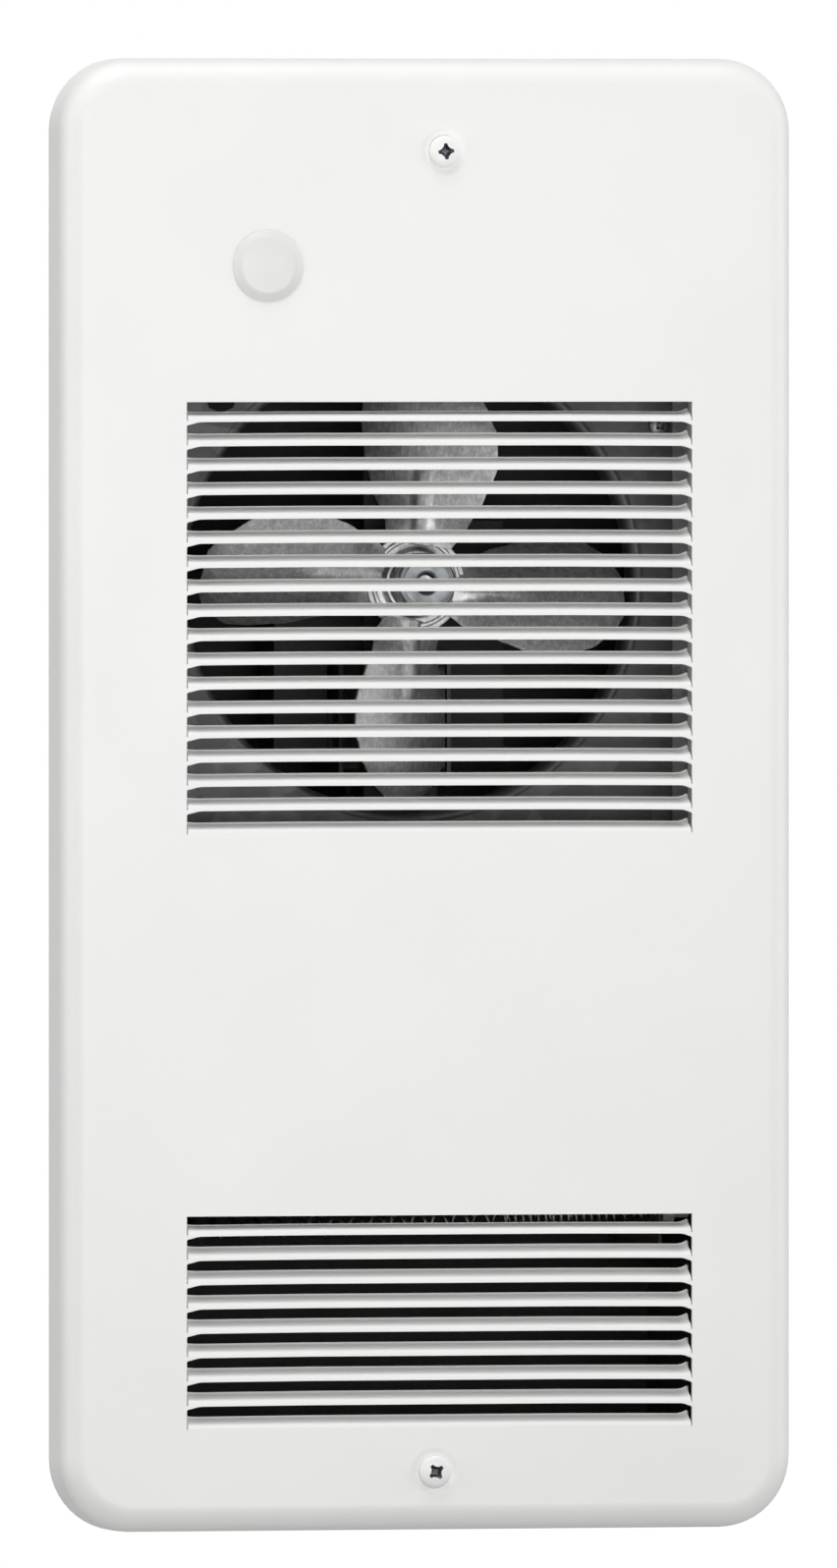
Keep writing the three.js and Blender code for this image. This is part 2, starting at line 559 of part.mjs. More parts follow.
function makeFanBlades() {
  const { raised, radius, height } = FAN_CENTRE;
  const hole = HUB.neck + GAP;
  const [front, rear] = [FAN.planeY - FAN.sheet / 2, FAN.planeY + FAN.sheet / 2];
  const disc = turned([
    [hole, front - height],
    [raised, front - height],
    [raised + 1.5, front],
    [radius, front],
    [radius, rear],
    [raised + 1, rear],
    [raised - 0.5, rear - height],
    [hole, rear - height],
    [hole, front - height],
  ], FAN.x, FAN.z, 32);
  const bore = bar('y', raised + 1, FAN.planeY - 20, FAN.planeY + 20, [FAN.x, 0, FAN.z], 32);
  const blades = [0, 1, 2, 3].map((index) => cut(makeBlade(index), bore));
  return join(disc, ...blades);
}

// The hub: a boss in front of the fan's raised centre, a neck through it and a flange behind it.
function makeFanHub() {
  const { boss, front, neck, flange, flangeSheet, tail, tailLength } = HUB;
  const discFront = FAN.planeY - FAN.sheet / 2 - FAN_CENTRE.height;
  const seat = discFront - GAP;
  const back = discFront + FAN.sheet + GAP;
  return turned([
    [BORE_RADIUS, front],
    [boss, front],
    [boss, seat],
    [neck, seat],
    [neck, back],
    [flange, back],
    [flange, back + flangeSheet],
    [tail, back + flangeSheet],
    [tail, back + tailLength],
    [BORE_RADIUS, back + tailLength],
    [BORE_RADIUS, front],
  ], FAN.x, FAN.z, 32);
}

// ---------------------------------------------------------------- motor
const motorX = ([x0, x1]) => [FAN.x + x0, FAN.x + x1];
const motorZ = ([z0, z1]) => [FAN.z + z0, FAN.z + z1];
const motorHole = (x, radius, y0, y1) => bar('y', radius, y0, y1, [FAN.x + x, 0, FAN.z], 14);

// The C-shaped stack of laminations: it goes round the rotor and down both sides of the winding.
function makeMotorCore() {
  const { front, rear, halfWidth, top, boreRadius, bottom } = STACK;
  const whole = block(motorX([-halfWidth, halfWidth]), [front, rear], motorZ([bottom, top]));
  const windowX = motorX([-WINDOW.halfWidth, WINDOW.halfWidth]);
  const window = block(windowX, [front - 1, rear + 1], motorZ([bottom - 1, WINDOW.top]));
  const bore = bar('y', boreRadius, front - 1, rear + 1, [FAN.x, 0, FAN.z], 32);
  const screwHoles = [-MOTOR_SCREW_X, MOTOR_SCREW_X].map((x) => (
    motorHole(x, HOLE_RADIUS, front - 1, rear + 1)));
  return cut(whole, window, bore, ...screwHoles);
}

// A block round the coil core that is `clearance` larger than it on every side but its ends.
const roundCoilCore = (halfLength, clearance) => block(
  motorX([-halfLength, halfLength]),
  [STACK.front - clearance, STACK.rear + clearance],
  motorZ([STACK.bottom - clearance, WINDOW.bottom + clearance]),
);
const makeMotorCoilCore = () => roundCoilCore(WINDOW.halfWidth - GAP, 0);

// A square tube round the coil core with a flange at each end.
function makeMotorBobbin() {
  const { halfLength, flange, tube, front, bottom, top } = BOBBIN;
  const depth = [STACK.front - front, STACK.rear + front];
  const flanges = [-halfLength, halfLength - flange].map((x) => (
    block(motorX([x, x + flange]), depth, motorZ([bottom, top]))));
  return cut(join(roundCoilCore(halfLength, tube), ...flanges), roundCoilCore(halfLength + 1, GAP));
}

function makeMotorWinding() {
  const { halfLength, depth, bottom, top, corner: r, clearance } = WINDING;
  const outline = new THREE.Shape();
  const [y0, y1] = [STACK.front - depth, STACK.rear + depth];
  const [z0, z1] = motorZ([bottom, top]);
  outline.moveTo(y0 + r, z0);
  outline.lineTo(y1 - r, z0);
  outline.absarc(y1 - r, z0 + r, r, -Math.PI / 2, 0);
  outline.absarc(y1 - r, z1 - r, r, 0, Math.PI / 2);
  outline.absarc(y0 + r, z1 - r, r, Math.PI / 2, Math.PI);
  outline.absarc(y0 + r, z0 + r, r, Math.PI, 1.5 * Math.PI);
  const section = outline.getPoints(3).map((point) => [point.x, point.y]);
  const rounded = sheetAlongX(section.slice(0, -1), FAN.x - halfLength, FAN.x + halfLength);
  return cut(rounded, roundCoilCore(halfLength + 1, clearance));
}

const bridgeTop = BRIDGE.standOff + BRIDGE.sheet;
const motorBar = (radius, y0, y1) => bar('y', radius, y0, y1, [FAN.x, 0, FAN.z], 24);

// Turns two distances from the stack's face into a span of Y, in front (side -1) or behind (side 1).
const outwards = (side) => (near, far) => {
  const stackFace = side < 0 ? STACK.front : STACK.rear;
  return side < 0 ? [stackFace - far, stackFace - near] : [stackFace + near, stackFace + far];
};

// A bridge across one end of the stack that carries a bearing. `side` is -1 in front and 1 behind.
function makeMotorBracket(side) {
  const { halfLength, halfHeight, standOff, leg, legHalfHeight, boss } = BRIDGE;
  const reach = outwards(side);
  const height = motorZ([-halfHeight, halfHeight]);
  const bridge = block(motorX([-halfLength, halfLength]), reach(standOff, bridgeTop), height);
  const legs = [-halfLength, halfLength - leg].map((x) => (
    block(motorX([x, x + leg]), reach(GAP, bridgeTop), motorZ([-legHalfHeight, legHalfHeight]))));
  const bossReach = reach(BEARING.inset - 1, BEARING.inset + BEARING.length + 1);
  const through = reach(-1, bridgeTop + 8);
  const holes = [-MOTOR_SCREW_X, MOTOR_SCREW_X].map((x) => motorHole(x, HOLE_RADIUS, ...through));
  return cut(
    join(bridge, ...legs, motorBar(boss, ...bossReach)),
    motorBar(BEARING.radius + GAP, ...through), ...holes,
  );
}

function makeBearing(side) {
  const [y0, y1] = outwards(side)(BEARING.inset, BEARING.inset + BEARING.length);
  return cut(motorBar(BEARING.radius, y0, y1), motorBar(BORE_RADIUS, y0 - 1, y1 + 1));
}

const frontBridge = STACK.front - bridgeTop;   // room side of the front bracket
const rearBridge = STACK.rear + bridgeTop;     // wall side of the rear bracket

function makeMotorSpacer(side) {
  const [y0, y1] = [STRAP.rear + GAP, frontBridge - GAP];
  const x = side * MOTOR_SCREW_X;
  return cut(motorHole(x, 4, y0, y1), motorHole(x, HOLE_RADIUS, y0 - 1, y1 + 1));
}

// A long screw put in from behind, through both brackets and the stack, into the strap.
function makeMotorScrew(side) {
  const x = side * MOTOR_SCREW_X;
  const headFace = rearBridge + GAP;
  return turned([
    [0, STRAP.front - 3],
    [1.9, STRAP.front - 3],
    [1.9, headFace],
    [3.8, headFace],
    [3.8, headFace + 2.4],
    [0, headFace + 2.4],
  ], FAN.x + x, FAN.z, 10);
}

// The strap that carries the motor behind the orifice, with a foot at each end on the deck.
function makeMotorStrap() {
  const { front, rear, reach, halfWidth, footStart, screwZ } = STRAP;
  const { halfWidth: padX, halfHeight: padZ, holeRadius } = STRAP_PAD;
  const sheet = rear - front;
  const footFront = deckRear + GAP;
  const across = motorX([-halfWidth, halfWidth]);
  const web = block(across, [front, rear], motorZ([-footStart - sheet, footStart + sheet]));
  const pad = block(motorX([-padX, padX]), [front, rear], motorZ([-padZ, padZ]));
  const ends = [-1, 1].flatMap((side) => {
    const order = (a, b) => motorZ(side < 0 ? [-b, -a] : [a, b]);
    return [
      block(across, [footFront, rear], order(footStart, footStart + sheet)),
      block(across, [footFront, footFront + sheet], order(footStart, reach)),
    ];
  });
  const holes = [-MOTOR_SCREW_X, MOTOR_SCREW_X].map((x) => motorHole(x, HOLE_RADIUS, front - 1, rear + 1));
  const footHoles = [-screwZ, screwZ].map((z) => (
    bar('y', HOLE_RADIUS, footFront - 1, rear + 1, [FAN.x, 0, FAN.z + z], 12)));
  return cut(join(web, pad, ...ends), motorBar(holeRadius, front - 1, rear + 1), ...holes, ...footHoles);
}

function makeMotorRotor() {
  const [front, rear] = [STACK.front - 0.5, STACK.rear + 0.5];
  return cut(motorBar(STACK.boreRadius - 2 * GAP, front, rear), motorBar(BORE_RADIUS, front - 1, rear + 1));
}

// ---------------------------------------------------------------- thermostat
const thermostatX = ([x0, x1]) => [PLUG.x + x0, PLUG.x + x1];
const thermostatBar = (radius, y0, y1, sides = 20) => bar('y', radius, y0, y1, [PLUG.x, 0, PLUG.z], sides);

function makeThermostatBody() {
  const { halfWidth, halfHeight, front, rear, bush, bushLength, spindle } = THERMOSTAT;
  const height = [PLUG.z - halfHeight, PLUG.z + halfHeight];
  const body = block(thermostatX([-halfWidth, halfWidth]), [front, rear], height);
  const bore = thermostatBar(spindle + GAP, front - bushLength - 1, front + 6);
  return cut(join(body, thermostatBar(bush, front - bushLength, front + 1)), bore);
}

const thermostatBracketFront = THERMOSTAT.front - GAP - THERMOSTAT_BRACKET.sheet;

// A hat-shaped bracket over the thermostat, with a foot either side on the deck.
function makeThermostatBracket() {
  const { sheet, halfWidth, footEnd, halfHeight, screwX } = THERMOSTAT_BRACKET;
  const [top, foot] = [thermostatBracketFront, onDeck];
  const z = [PLUG.z - halfHeight, PLUG.z + halfHeight];
  const bridge = block(thermostatX([-halfWidth, halfWidth]), [top, top + sheet], z);
  const sides = [-1, 1].flatMap((side) => {
    const order = (a, b) => thermostatX(side < 0 ? [-b, -a] : [a, b]);
    return [
      block(order(halfWidth - sheet, halfWidth), [top, foot], z),
      block(order(halfWidth - sheet, footEnd), [foot - sheet, foot], z),
    ];
  });
  const holes = [-screwX, screwX].map((x) => (
    bar('y', HOLE_RADIUS, foot - 3, foot + 1, [PLUG.x + x, 0, PLUG.z], 12)));
  return cut(join(bridge, ...sides), thermostatBar(THERMOSTAT.bush + GAP, top - 1, top + 3), ...holes);
}

function makeThermostatNut() {
  const { radius, thickness } = THERMOSTAT_NUT;
  const rear = thermostatBracketFront - GAP;
  const hexagon = thermostatBar(radius, rear - thickness, rear, 6);
  return cut(hexagon, thermostatBar(THERMOSTAT.bush + GAP, rear - thickness - 1, rear + 1));
}

// The spindle stops short of the plug and has a slot for a screwdriver in its end.
function makeThermostatSpindle() {
  const { spindle, bushLength } = THERMOSTAT;
  const front = THERMOSTAT.front - bushLength - spindle;
  const stem = thermostatBar(spindle, front, THERMOSTAT.front + 5);
  const slotX = thermostatX([-spindle - 1, spindle + 1]);
  const slot = block(slotX, [front - 1, front + 1.6], [PLUG.z - 0.5, PLUG.z + 0.5]);
  return cut(stem, slot);
}

// ---------------------------------------------------------------- high limit and terminal block
// A round switch through the deck with two ears and a sleeve for its reset button.
function makeLimitSwitch() {
  const { x, z, radius, earReach, earHalfHeight, front, sleeve, button } = LIMIT;
  const { x: tabX, halfSheet, halfHeight } = LIMIT_TAB;
  const centre = [x, 0, z];
  const canFront = front + 4;
  const can = bar('y', radius, canFront, deckRear + 5, centre, 24);
  const earHeight = [z - earHalfHeight, z + earHalfHeight];
  const ears = block([x - earReach, x + earReach], [onDeck - 1, onDeck], earHeight);
  const tabHeight = [z - halfHeight, z + halfHeight];
  const tabs = [x - tabX, x + tabX].map((middle) => (
    block([middle - halfSheet, middle + halfSheet], [front - 3, canFront + 1], tabHeight)));
  const holes = [-LIMIT_SCREW_X, LIMIT_SCREW_X].map((offset) => (
    bar('y', HOLE_RADIUS, onDeck - 3, onDeck + 1, [x + offset, 0, z], 12)));
  return cut(
    join(can, ears, bar('y', sleeve, front, canFront + 1, centre, 16), ...tabs),
    bar('y', button + GAP, front - 1, canFront + 4, centre, 16), ...holes,
  );
}

// The button stands out of the sleeve by more than its travel.
const makeLimitButton = () => (
  bar('y', LIMIT.button, LIMIT.front - 3.5, LIMIT.front + 4, [LIMIT.x, 0, LIMIT.z], 16));

function makeTerminalBlock() {
  const { x, z, halfWidth, halfHeight, front, step, barrier } = TERMINAL_BLOCK;
  const height = [z - halfHeight, z + halfHeight];
  const floor = front + 4;
  const body = block([x - halfWidth, x + halfWidth], [floor, onDeck], height);
  const between = [-step / 2 - barrier / 2, step / 2 - barrier / 2];
  const walls = [-halfWidth, ...between, halfWidth - barrier].map((offset) => (
    block([x + offset, x + offset + barrier], [front, floor + 1], height)));
  const clamps = [-step, 0, step].map((offset) => (
    bar('y', 3.2, front + 1.5, floor + 1, [x + offset, 0, z], 12)));
  return join(body, ...walls, ...clamps);
}

// ---------------------------------------------------------------- heating element
const coilHeight = (x) => COIL.midZ + COIL.slope * (x - FAN.x);
const runY = (run) => COIL.firstY + run * COIL.pitch;

// The coil in plain outline: straight runs from board to board, joined by half turns outside them.
function makeHeatingCoil() {
  const [left, right] = [MICA.leftX - 1, MICA.rightX + 1];
  const tilt = Math.atan(COIL.slope);
  const runs = Array.from({ length: COIL.runs }, (_, run) => {
    const geometry = new THREE.CylinderGeometry(COIL.radius, COIL.radius, right - left + 1, COIL.sides);
    geometry.rotateZ(-Math.PI / 2);
    geometry.translate((left + right) / 2 - FAN.x, 0, 0);
    geometry.rotateY(-tilt);
    geometry.translate(FAN.x, runY(run), COIL.midZ);
    return solidFrom(geometry);
  });
  const turns = Array.from({ length: COIL.runs - 1 }, (_, turn) => {
    const side = turn % 2 === 0 ? -1 : 1;
    const end = side < 0 ? left : right;
    const geometry = new THREE.TorusGeometry(COIL.pitch / 2, COIL.radius, COIL.sides, 6, Math.PI);
    geometry.rotateZ(-side * Math.PI / 2);
    geometry.rotateY(-tilt);
    geometry.translate(end, runY(turn) + COIL.pitch / 2, coilHeight(end));
    return solidFromArc(geometry);
  });
  return join(...runs, ...turns);
}

// Closes the two open ends of a part torus with a fan of triangles each.
function solidFromArc(geometry) {
  const bare = geometry.clone();
  bare.deleteAttribute('normal');
  bare.deleteAttribute('uv');
  const merged = mergeVertices(bare, 1e-4);
  const corners = Array.from(merged.index.array);
  const next = new Map();
  const edges = new Set();
  for (let i = 0; i < corners.length; i += 3) {
    for (let k = 0; k < 3; k += 1) edges.add(`${corners[i + k]},${corners[i + ((k + 1) % 3)]}`);
  }
  edges.forEach((edge) => {
    const [a, b] = edge.split(',').map(Number);
    if (!edges.has(`${b},${a}`)) next.set(b, a);
  });
  while (next.size > 0) {
    const loop = [next.keys().next().value];
    while (next.get(loop[loop.length - 1]) !== loop[0]) loop.push(next.get(loop[loop.length - 1]));
    loop.forEach((corner) => next.delete(corner));
    for (let i = 1; i + 1 < loop.length; i += 1) corners.push(loop[0], loop[i], loop[i + 1]);
  }
  merged.setIndex(corners);
  return solidFrom(merged);
}

// A mica board across the air path with a round hole for each run of the coil.
function makeMicaBoard(x) {
  const rail = ELEMENT_FRAME.sheet + GAP;
  const board = block(
    [x - MICA.sheet / 2, x + MICA.sheet / 2],
    [ELEMENT_FRAME.front + rail, ELEMENT_FRAME.rear - rail],
    [MICA.bottom, MICA.top],
  );
  const holes = Array.from({ length: COIL.runs }, (_, run) => (
    bar('x', COIL.radius + GAP, x - 1, x + 1, [0, runY(run), coilHeight(x)], 16)));
  return cut(board, ...holes);
}

// A band round the air path, behind the deck, that the boards hang from.
function makeElementFrame() {
  const { front, rear, bottom, top, sheet } = ELEMENT_FRAME;
  const [left, right] = insideBox;
  const outside = block(insideBox, [front, rear], [bottom, top]);
  const inside = block([left + sheet, right - sheet], [front + sheet, rear - sheet], [bottom - 1, top + 1]);
  const holes = [-ELEMENT_SCREW.x, ELEMENT_SCREW.x].map((x) => (
    bar('y', HOLE_RADIUS, front - 1, front + sheet + 1, [x, 0, ELEMENT_SCREW.z], 12)));
  return cut(outside, inside, ...holes);
}

// A ceramic bead and its screw post at one end of the coil.
function makeElementTerminal(run) {
  const { radius, length, postRadius, postEnd } = BEAD;
  const x = MICA.rightX + 1.5 + 2 * GAP;
  const centre = [0, runY(run), coilHeight(x)];
  const post = bar('x', postRadius, x + length - 1, x + postEnd, centre, 12);
  return join(bar('x', radius, x, x + length, centre, 16), post);
}

// ---------------------------------------------------------------- assembly
addPiece('front_cover', makeFrontCover(), whiteEnamel);
addPiece('cover_screw_top', makeCoverScrew(COVER_SCREW_TOP), whiteEnamel);
addPiece('cover_screw_bottom', makeCoverScrew(COVER_SCREW_BOTTOM), whiteEnamel);
addPiece('control_hole_plug', makeControlHolePlug(), whiteNylon);

addPiece('wall_box', makeWallBox(), galvanised);
addPiece('knockout_slug', makeKnockoutSlug(), galvanised);
addPiece('cable_clamp', makeCableClamp(), zincPlated);
addPiece('cable_clamp_screw', makeClampScrew(), zincPlated);
addPiece('ground_screw', makeGroundScrew(), greenSteel);

addPiece('fan_deck', makeFanDeck(), galvanised);
DECK_SCREW_Z.forEach((z, row) => [-1, 1].forEach((side) => {
  const name = `deck_screw_${row === 0 ? 'upper' : 'lower'}_${side < 0 ? 'left' : 'right'}`;
  addPiece(name, screw({ x: FAN.x + side * DECK_SCREW_X, z, under: onDeck, length: 8 }), zincPlated);
}));
addPiece('lead_grommet', makeGrommet(LEAD_GROMMET), rubber);
addPiece('supply_grommet', makeGrommet(SUPPLY_GROMMET), rubber);

addPiece('fan_blades', makeFanBlades(), aluminium, fanRotor);
addPiece('fan_hub', makeFanHub(), zincPlated, fanRotor);
addPiece('motor_shaft', motorBar(SHAFT.radius, SHAFT.front, SHAFT.rear), groundSteel, fanRotor);
addPiece('motor_rotor', makeMotorRotor(), electricalSteel, fanRotor);

addPiece('motor_core', makeMotorCore(), electricalSteel);
addPiece('motor_coil_core', makeMotorCoilCore(), electricalSteel);
addPiece('motor_bobbin', makeMotorBobbin(), nylonNatural);
addPiece('motor_winding', makeMotorWinding(), copperWire);
addPiece('motor_front_bracket', makeMotorBracket(-1), zincPlated);
addPiece('motor_rear_bracket', makeMotorBracket(1), zincPlated);
addPiece('front_bearing', makeBearing(-1), bronze);
addPiece('rear_bearing', makeBearing(1), bronze);
addPiece('motor_strap', makeMotorStrap(), galvanised);
[['left', -1], ['right', 1]].forEach(([word, side]) => {
  addPiece(`motor_spacer_${word}`, makeMotorSpacer(side), zincPlated);
  addPiece(`motor_screw_${word}`, makeMotorScrew(side), zincPlated);
});
[['lower', -STRAP.screwZ], ['upper', STRAP.screwZ]].forEach(([word, z]) => {
  addPiece(`strap_screw_${word}`, screw({ x: FAN.x, z: FAN.z + z, under: onDeck, length: 6 }), zincPlated);
});

addPiece('thermostat_body', makeThermostatBody(), phenolic);
addPiece('thermostat_bracket', makeThermostatBracket(), zincPlated);
addPiece('thermostat_nut', makeThermostatNut(), bronze);
addPiece('thermostat_spindle', makeThermostatSpindle(), groundSteel);
[['left', -THERMOSTAT_BRACKET.screwX], ['right', THERMOSTAT_BRACKET.screwX]].forEach(([word, x]) => {
  const under = onDeck - THERMOSTAT_BRACKET.sheet - GAP;
  addPiece(`thermostat_screw_${word}`, screw({ x: PLUG.x + x, z: PLUG.z, under, length: 6 }), zincPlated);
});

addPiece('limit_switch', makeLimitSwitch(), phenolic);
addPiece('limit_button', makeLimitButton(), redPlastic);
[['left', -LIMIT_SCREW_X], ['right', LIMIT_SCREW_X]].forEach(([word, x]) => {
  const place = { x: LIMIT.x + x, z: LIMIT.z, under: onDeck - 1 - GAP };
  addPiece(`limit_screw_${word}`, screw({ ...place, headRadius: 3.2, length: 6 }), zincPlated);
});
addPiece('terminal_block', makeTerminalBlock(), nylonBlack);

addPiece('heating_coil', makeHeatingCoil(), nichrome);
addPiece('mica_board_left', makeMicaBoard(MICA.leftX), mica);
addPiece('mica_board_right', makeMicaBoard(MICA.rightX), mica);
addPiece('element_frame', makeElementFrame(), galvanised);
addPiece('element_terminal_front', makeElementTerminal(0), porcelain);
addPiece('element_terminal_rear', makeElementTerminal(COIL.runs - 1), porcelain);
[['left', -ELEMENT_SCREW.x], ['right', ELEMENT_SCREW.x]].forEach(([word, x]) => {
  addPiece(`element_screw_${word}`, screw({ x, z: ELEMENT_SCREW.z, under: onDeck, length: 7 }), zincPlated);
});

addPiece('lead_supply_to_thermostat', wire([
  [39.3, 16, 437], [33, 16, 438], [20, 13, 448], [0, 12, 456], [-28, 9, 460.5], [-45, 8, 460],
  [-50.5, 8, 457], [-50.5, 8, 452],
], 16), blackLead);
addPiece('lead_thermostat_to_limit', wire([
  [-62, 8, 421], [-62, 8, 416], [-68, 8, 410], [-84, 9, 404], [-93, 10, 393], [-94.5, 12, 370],
  [-94.5, 12, 300], [-94.5, 12, 200], [-89, 13, 178], [-70, 14, 168], [0, 14, 160], [30, 13, 154],
  [38, 11, 150.5], [42.5, 11, 150.5],
], 34), blackLead);
addPiece('lead_limit_to_element', wire([
  [57.5, 11, 150.5], [62, 11, 150.3], [69, 11, 142], [78, 11, 134], [86, 13, 134], [87.9, 18, 136.5],
  [88, 23, 137], [88, 29, 137], [90.5, 34, 136.8], [97, 36, 134], [102.6, 36, 127], [103.8, 36, 119],
  [103.8, 36, 111.2],
], 26), redLead);
addPiece('lead_supply_to_element', wire([
  [84.7, 16, 437], [91, 16, 436], [99, 14, 427], [102, 12, 410], [102, 12, 300], [102, 12, 185],
  [98, 11, 166], [87, 10, 150], [84, 14, 141], [84, 20, 137.2], [84, 29, 137], [85, 46, 137],
  [92, 66, 136], [99, 77, 131], [103.4, 79, 124], [103.8, 78, 118], [103.8, 78, 111.2],
], 42), whiteLead);
addPiece('lead_motor_to_limit', wire([
  [14, 58, 257.6], [14, 58, 250], [16, 56, 200], [40, 54, 160], [80, 50, 148], [97, 46, 142],
  [103.6, 46, 132], [103.8, 46, 118], [103.8, 45, 111], [103.8, 42, 108.5], [103.8, 38.9, 108.5],
], 30), redLead);
addPiece('lead_motor_to_supply', wire([
  [-6, 70, 257.6], [-6, 70, 250], [-2, 70, 200], [30, 70, 170], [76, 69, 156], [97, 68, 148],
  [103.4, 68, 138], [103.8, 68, 118], [103.8, 69, 111], [103.8, 72, 108.5], [103.8, 75.1, 108.5],
], 30), whiteLead);

heater.position.z = -COVER.rim / 2;

export default heater;
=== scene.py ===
import math

import bmesh
import bpy
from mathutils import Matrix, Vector


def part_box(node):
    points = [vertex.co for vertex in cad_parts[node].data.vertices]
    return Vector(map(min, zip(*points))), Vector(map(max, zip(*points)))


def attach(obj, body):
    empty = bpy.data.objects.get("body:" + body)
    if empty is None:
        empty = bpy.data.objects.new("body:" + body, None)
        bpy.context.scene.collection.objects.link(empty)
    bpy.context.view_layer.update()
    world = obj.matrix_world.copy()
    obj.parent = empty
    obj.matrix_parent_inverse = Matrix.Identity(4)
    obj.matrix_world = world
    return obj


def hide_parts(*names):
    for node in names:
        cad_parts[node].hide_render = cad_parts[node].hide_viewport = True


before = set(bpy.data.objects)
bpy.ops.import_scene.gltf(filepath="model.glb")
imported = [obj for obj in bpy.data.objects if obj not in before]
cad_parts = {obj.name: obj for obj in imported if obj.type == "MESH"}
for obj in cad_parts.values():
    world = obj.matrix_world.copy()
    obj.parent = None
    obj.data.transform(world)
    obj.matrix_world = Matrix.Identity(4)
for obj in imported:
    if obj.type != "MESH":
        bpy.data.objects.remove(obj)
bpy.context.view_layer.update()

# Recessed bathroom wall fan heater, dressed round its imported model.
# Sizes in the dictionaries are millimetres; z is counted from the cover's lower edge.
mm = 0.001
coverLow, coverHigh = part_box("front_cover")
bottomZ = coverLow.z / mm


def at(x, y, z):
    # a place in millimetres, with z from the cover's lower edge, as metres in the frame
    return Vector((x * mm, y * mm, (z + bottomZ) * mm))


# small tools for modelling
def deselectAll():
    if bpy.context.mode != "OBJECT":
        bpy.ops.object.mode_set(mode="OBJECT")
    bpy.ops.object.select_all(action="DESELECT")


def makeActive(piece):
    deselectAll()
    piece.select_set(True)
    bpy.context.view_layer.objects.active = piece


def startPiece(name, primitive, **settings):
    deselectAll()
    primitive(**settings)
    piece = bpy.context.active_object
    piece.name = name
    piece.data.name = name
    return piece


def addObject(name, data):
    holder = bpy.data.objects.new(name, data)
    bpy.context.scene.collection.objects.link(holder)
    return holder


def startBox(name, x, y, z):
    # a cube stretched between two corners, given as ranges in millimetres
    low, high = at(x[0], y[0], z[0]), at(x[1], y[1], z[1])
    piece = startPiece(name, bpy.ops.mesh.primitive_cube_add, size=1, location=(low + high) / 2)
    piece.scale = high - low
    applyPlace(piece)
    return piece


def applyPlace(piece):
    makeActive(piece)
    bpy.ops.object.transform_apply(location=True, rotation=True, scale=True)


def editPiece(piece, kind="FACE"):
    makeActive(piece)
    bpy.ops.object.mode_set(mode="EDIT")
    bpy.ops.mesh.select_mode(type=kind)
    bpy.ops.mesh.select_all(action="DESELECT")


def pick(piece, kind, test):
    # selects the corners, edges or faces whose middle, in millimetres, passes the test
    bpy.ops.mesh.select_mode(type=kind)
    bpy.ops.mesh.select_all(action="DESELECT")
    shape = bmesh.from_edit_mesh(piece.data)
    for part in {"VERT": shape.verts, "EDGE": shape.edges, "FACE": shape.faces}[kind]:
        if kind == "VERT":
            middle = part.co
        elif kind == "EDGE":
            middle = (part.verts[0].co + part.verts[1].co) / 2
        else:
            middle = part.calc_center_bounds()
        place = Vector((middle.x / mm, middle.y / mm, middle.z / mm - bottomZ))
        if test(part, place):
            part.select_set(True)
    shape.select_flush_mode()
    bmesh.update_edit_mesh(piece.data)


def extrudeEdges(dx=0, dy=0, dz=0):
    bpy.ops.mesh.extrude_edges_move(TRANSFORM_OT_translate={"value": (dx * mm, dy * mm, dz * mm)})


def extrudeFaces(dy):
    bpy.ops.mesh.extrude_region_move(TRANSFORM_OT_translate={"value": (0, dy * mm, 0)})


def cleanUp(piece, merge=0.005):
    # doubles merged and faces turned outwards
    editPiece(piece)
    bpy.ops.mesh.select_all(action="SELECT")
    bpy.ops.mesh.remove_doubles(threshold=merge * mm)
    bpy.ops.mesh.normals_make_consistent(inside=False)
    bpy.ops.object.mode_set(mode="OBJECT")


def addModifier(piece, kind, **settings):
    makeActive(piece)
    bpy.ops.object.modifier_add(type=kind)
    modifier = piece.modifiers[-1]
    for key, value in settings.items():
        setattr(modifier, key, value)
    bpy.ops.object.modifier_apply(modifier=modifier.name)


def bevelEdges(piece, width, segments, angle):
    addModifier(
        piece, "BEVEL", width=width * mm, segments=segments, limit_method="ANGLE",
        angle_limit=math.radians(angle), harden_normals=False,
    )


def cutAway(piece, *cutters):
    for cutter in cutters:
        addModifier(piece, "BOOLEAN", operation="DIFFERENCE", solver="EXACT", object=cutter)
        bpy.data.objects.remove(cutter)


def joinOn(piece, *others):
    for other in others:
        addModifier(piece, "BOOLEAN", operation="UNION", solver="EXACT", object=other)
        bpy.data.objects.remove(other)


def gather(name, parts):
    # several meshes as one object
    deselectAll()
    for part in parts:
        part.select_set(True)
    bpy.context.view_layer.objects.active = parts[0]
    bpy.ops.object.join()
    parts[0].name = name
    parts[0].data.name = name
    return parts[0]


def shade(piece, angle, weighted=True):
    makeActive(piece)
    bpy.ops.object.shade_smooth_by_angle(angle=math.radians(angle))
    if weighted:
        addModifier(piece, "WEIGHTED_NORMAL", keep_sharp=True)


def drawLine(name, points):
    # one corner of a small plane is kept and drawn out from point to point
    line = startPiece(name, bpy.ops.mesh.primitive_plane_add, size=mm, location=at(*points[0]))
    applyPlace(line)
    editPiece(line, "VERT")
    shape = bmesh.from_edit_mesh(line.data)
    shape.verts.ensure_lookup_table()
    for corner in shape.verts[1:]:
        corner.select_set(True)
    bpy.ops.mesh.delete(type="VERT")
    shape = bmesh.from_edit_mesh(line.data)
    shape.verts.ensure_lookup_table()
    shape.verts[0].co = at(*points[0])
    shape.verts[0].select_set(True)
    bmesh.update_edit_mesh(line.data)
    for here, there in zip(points, points[1:]):
        step = at(*there) - at(*here)
        bpy.ops.mesh.extrude_vertices_move(TRANSFORM_OT_translate={"value": step})
    return line


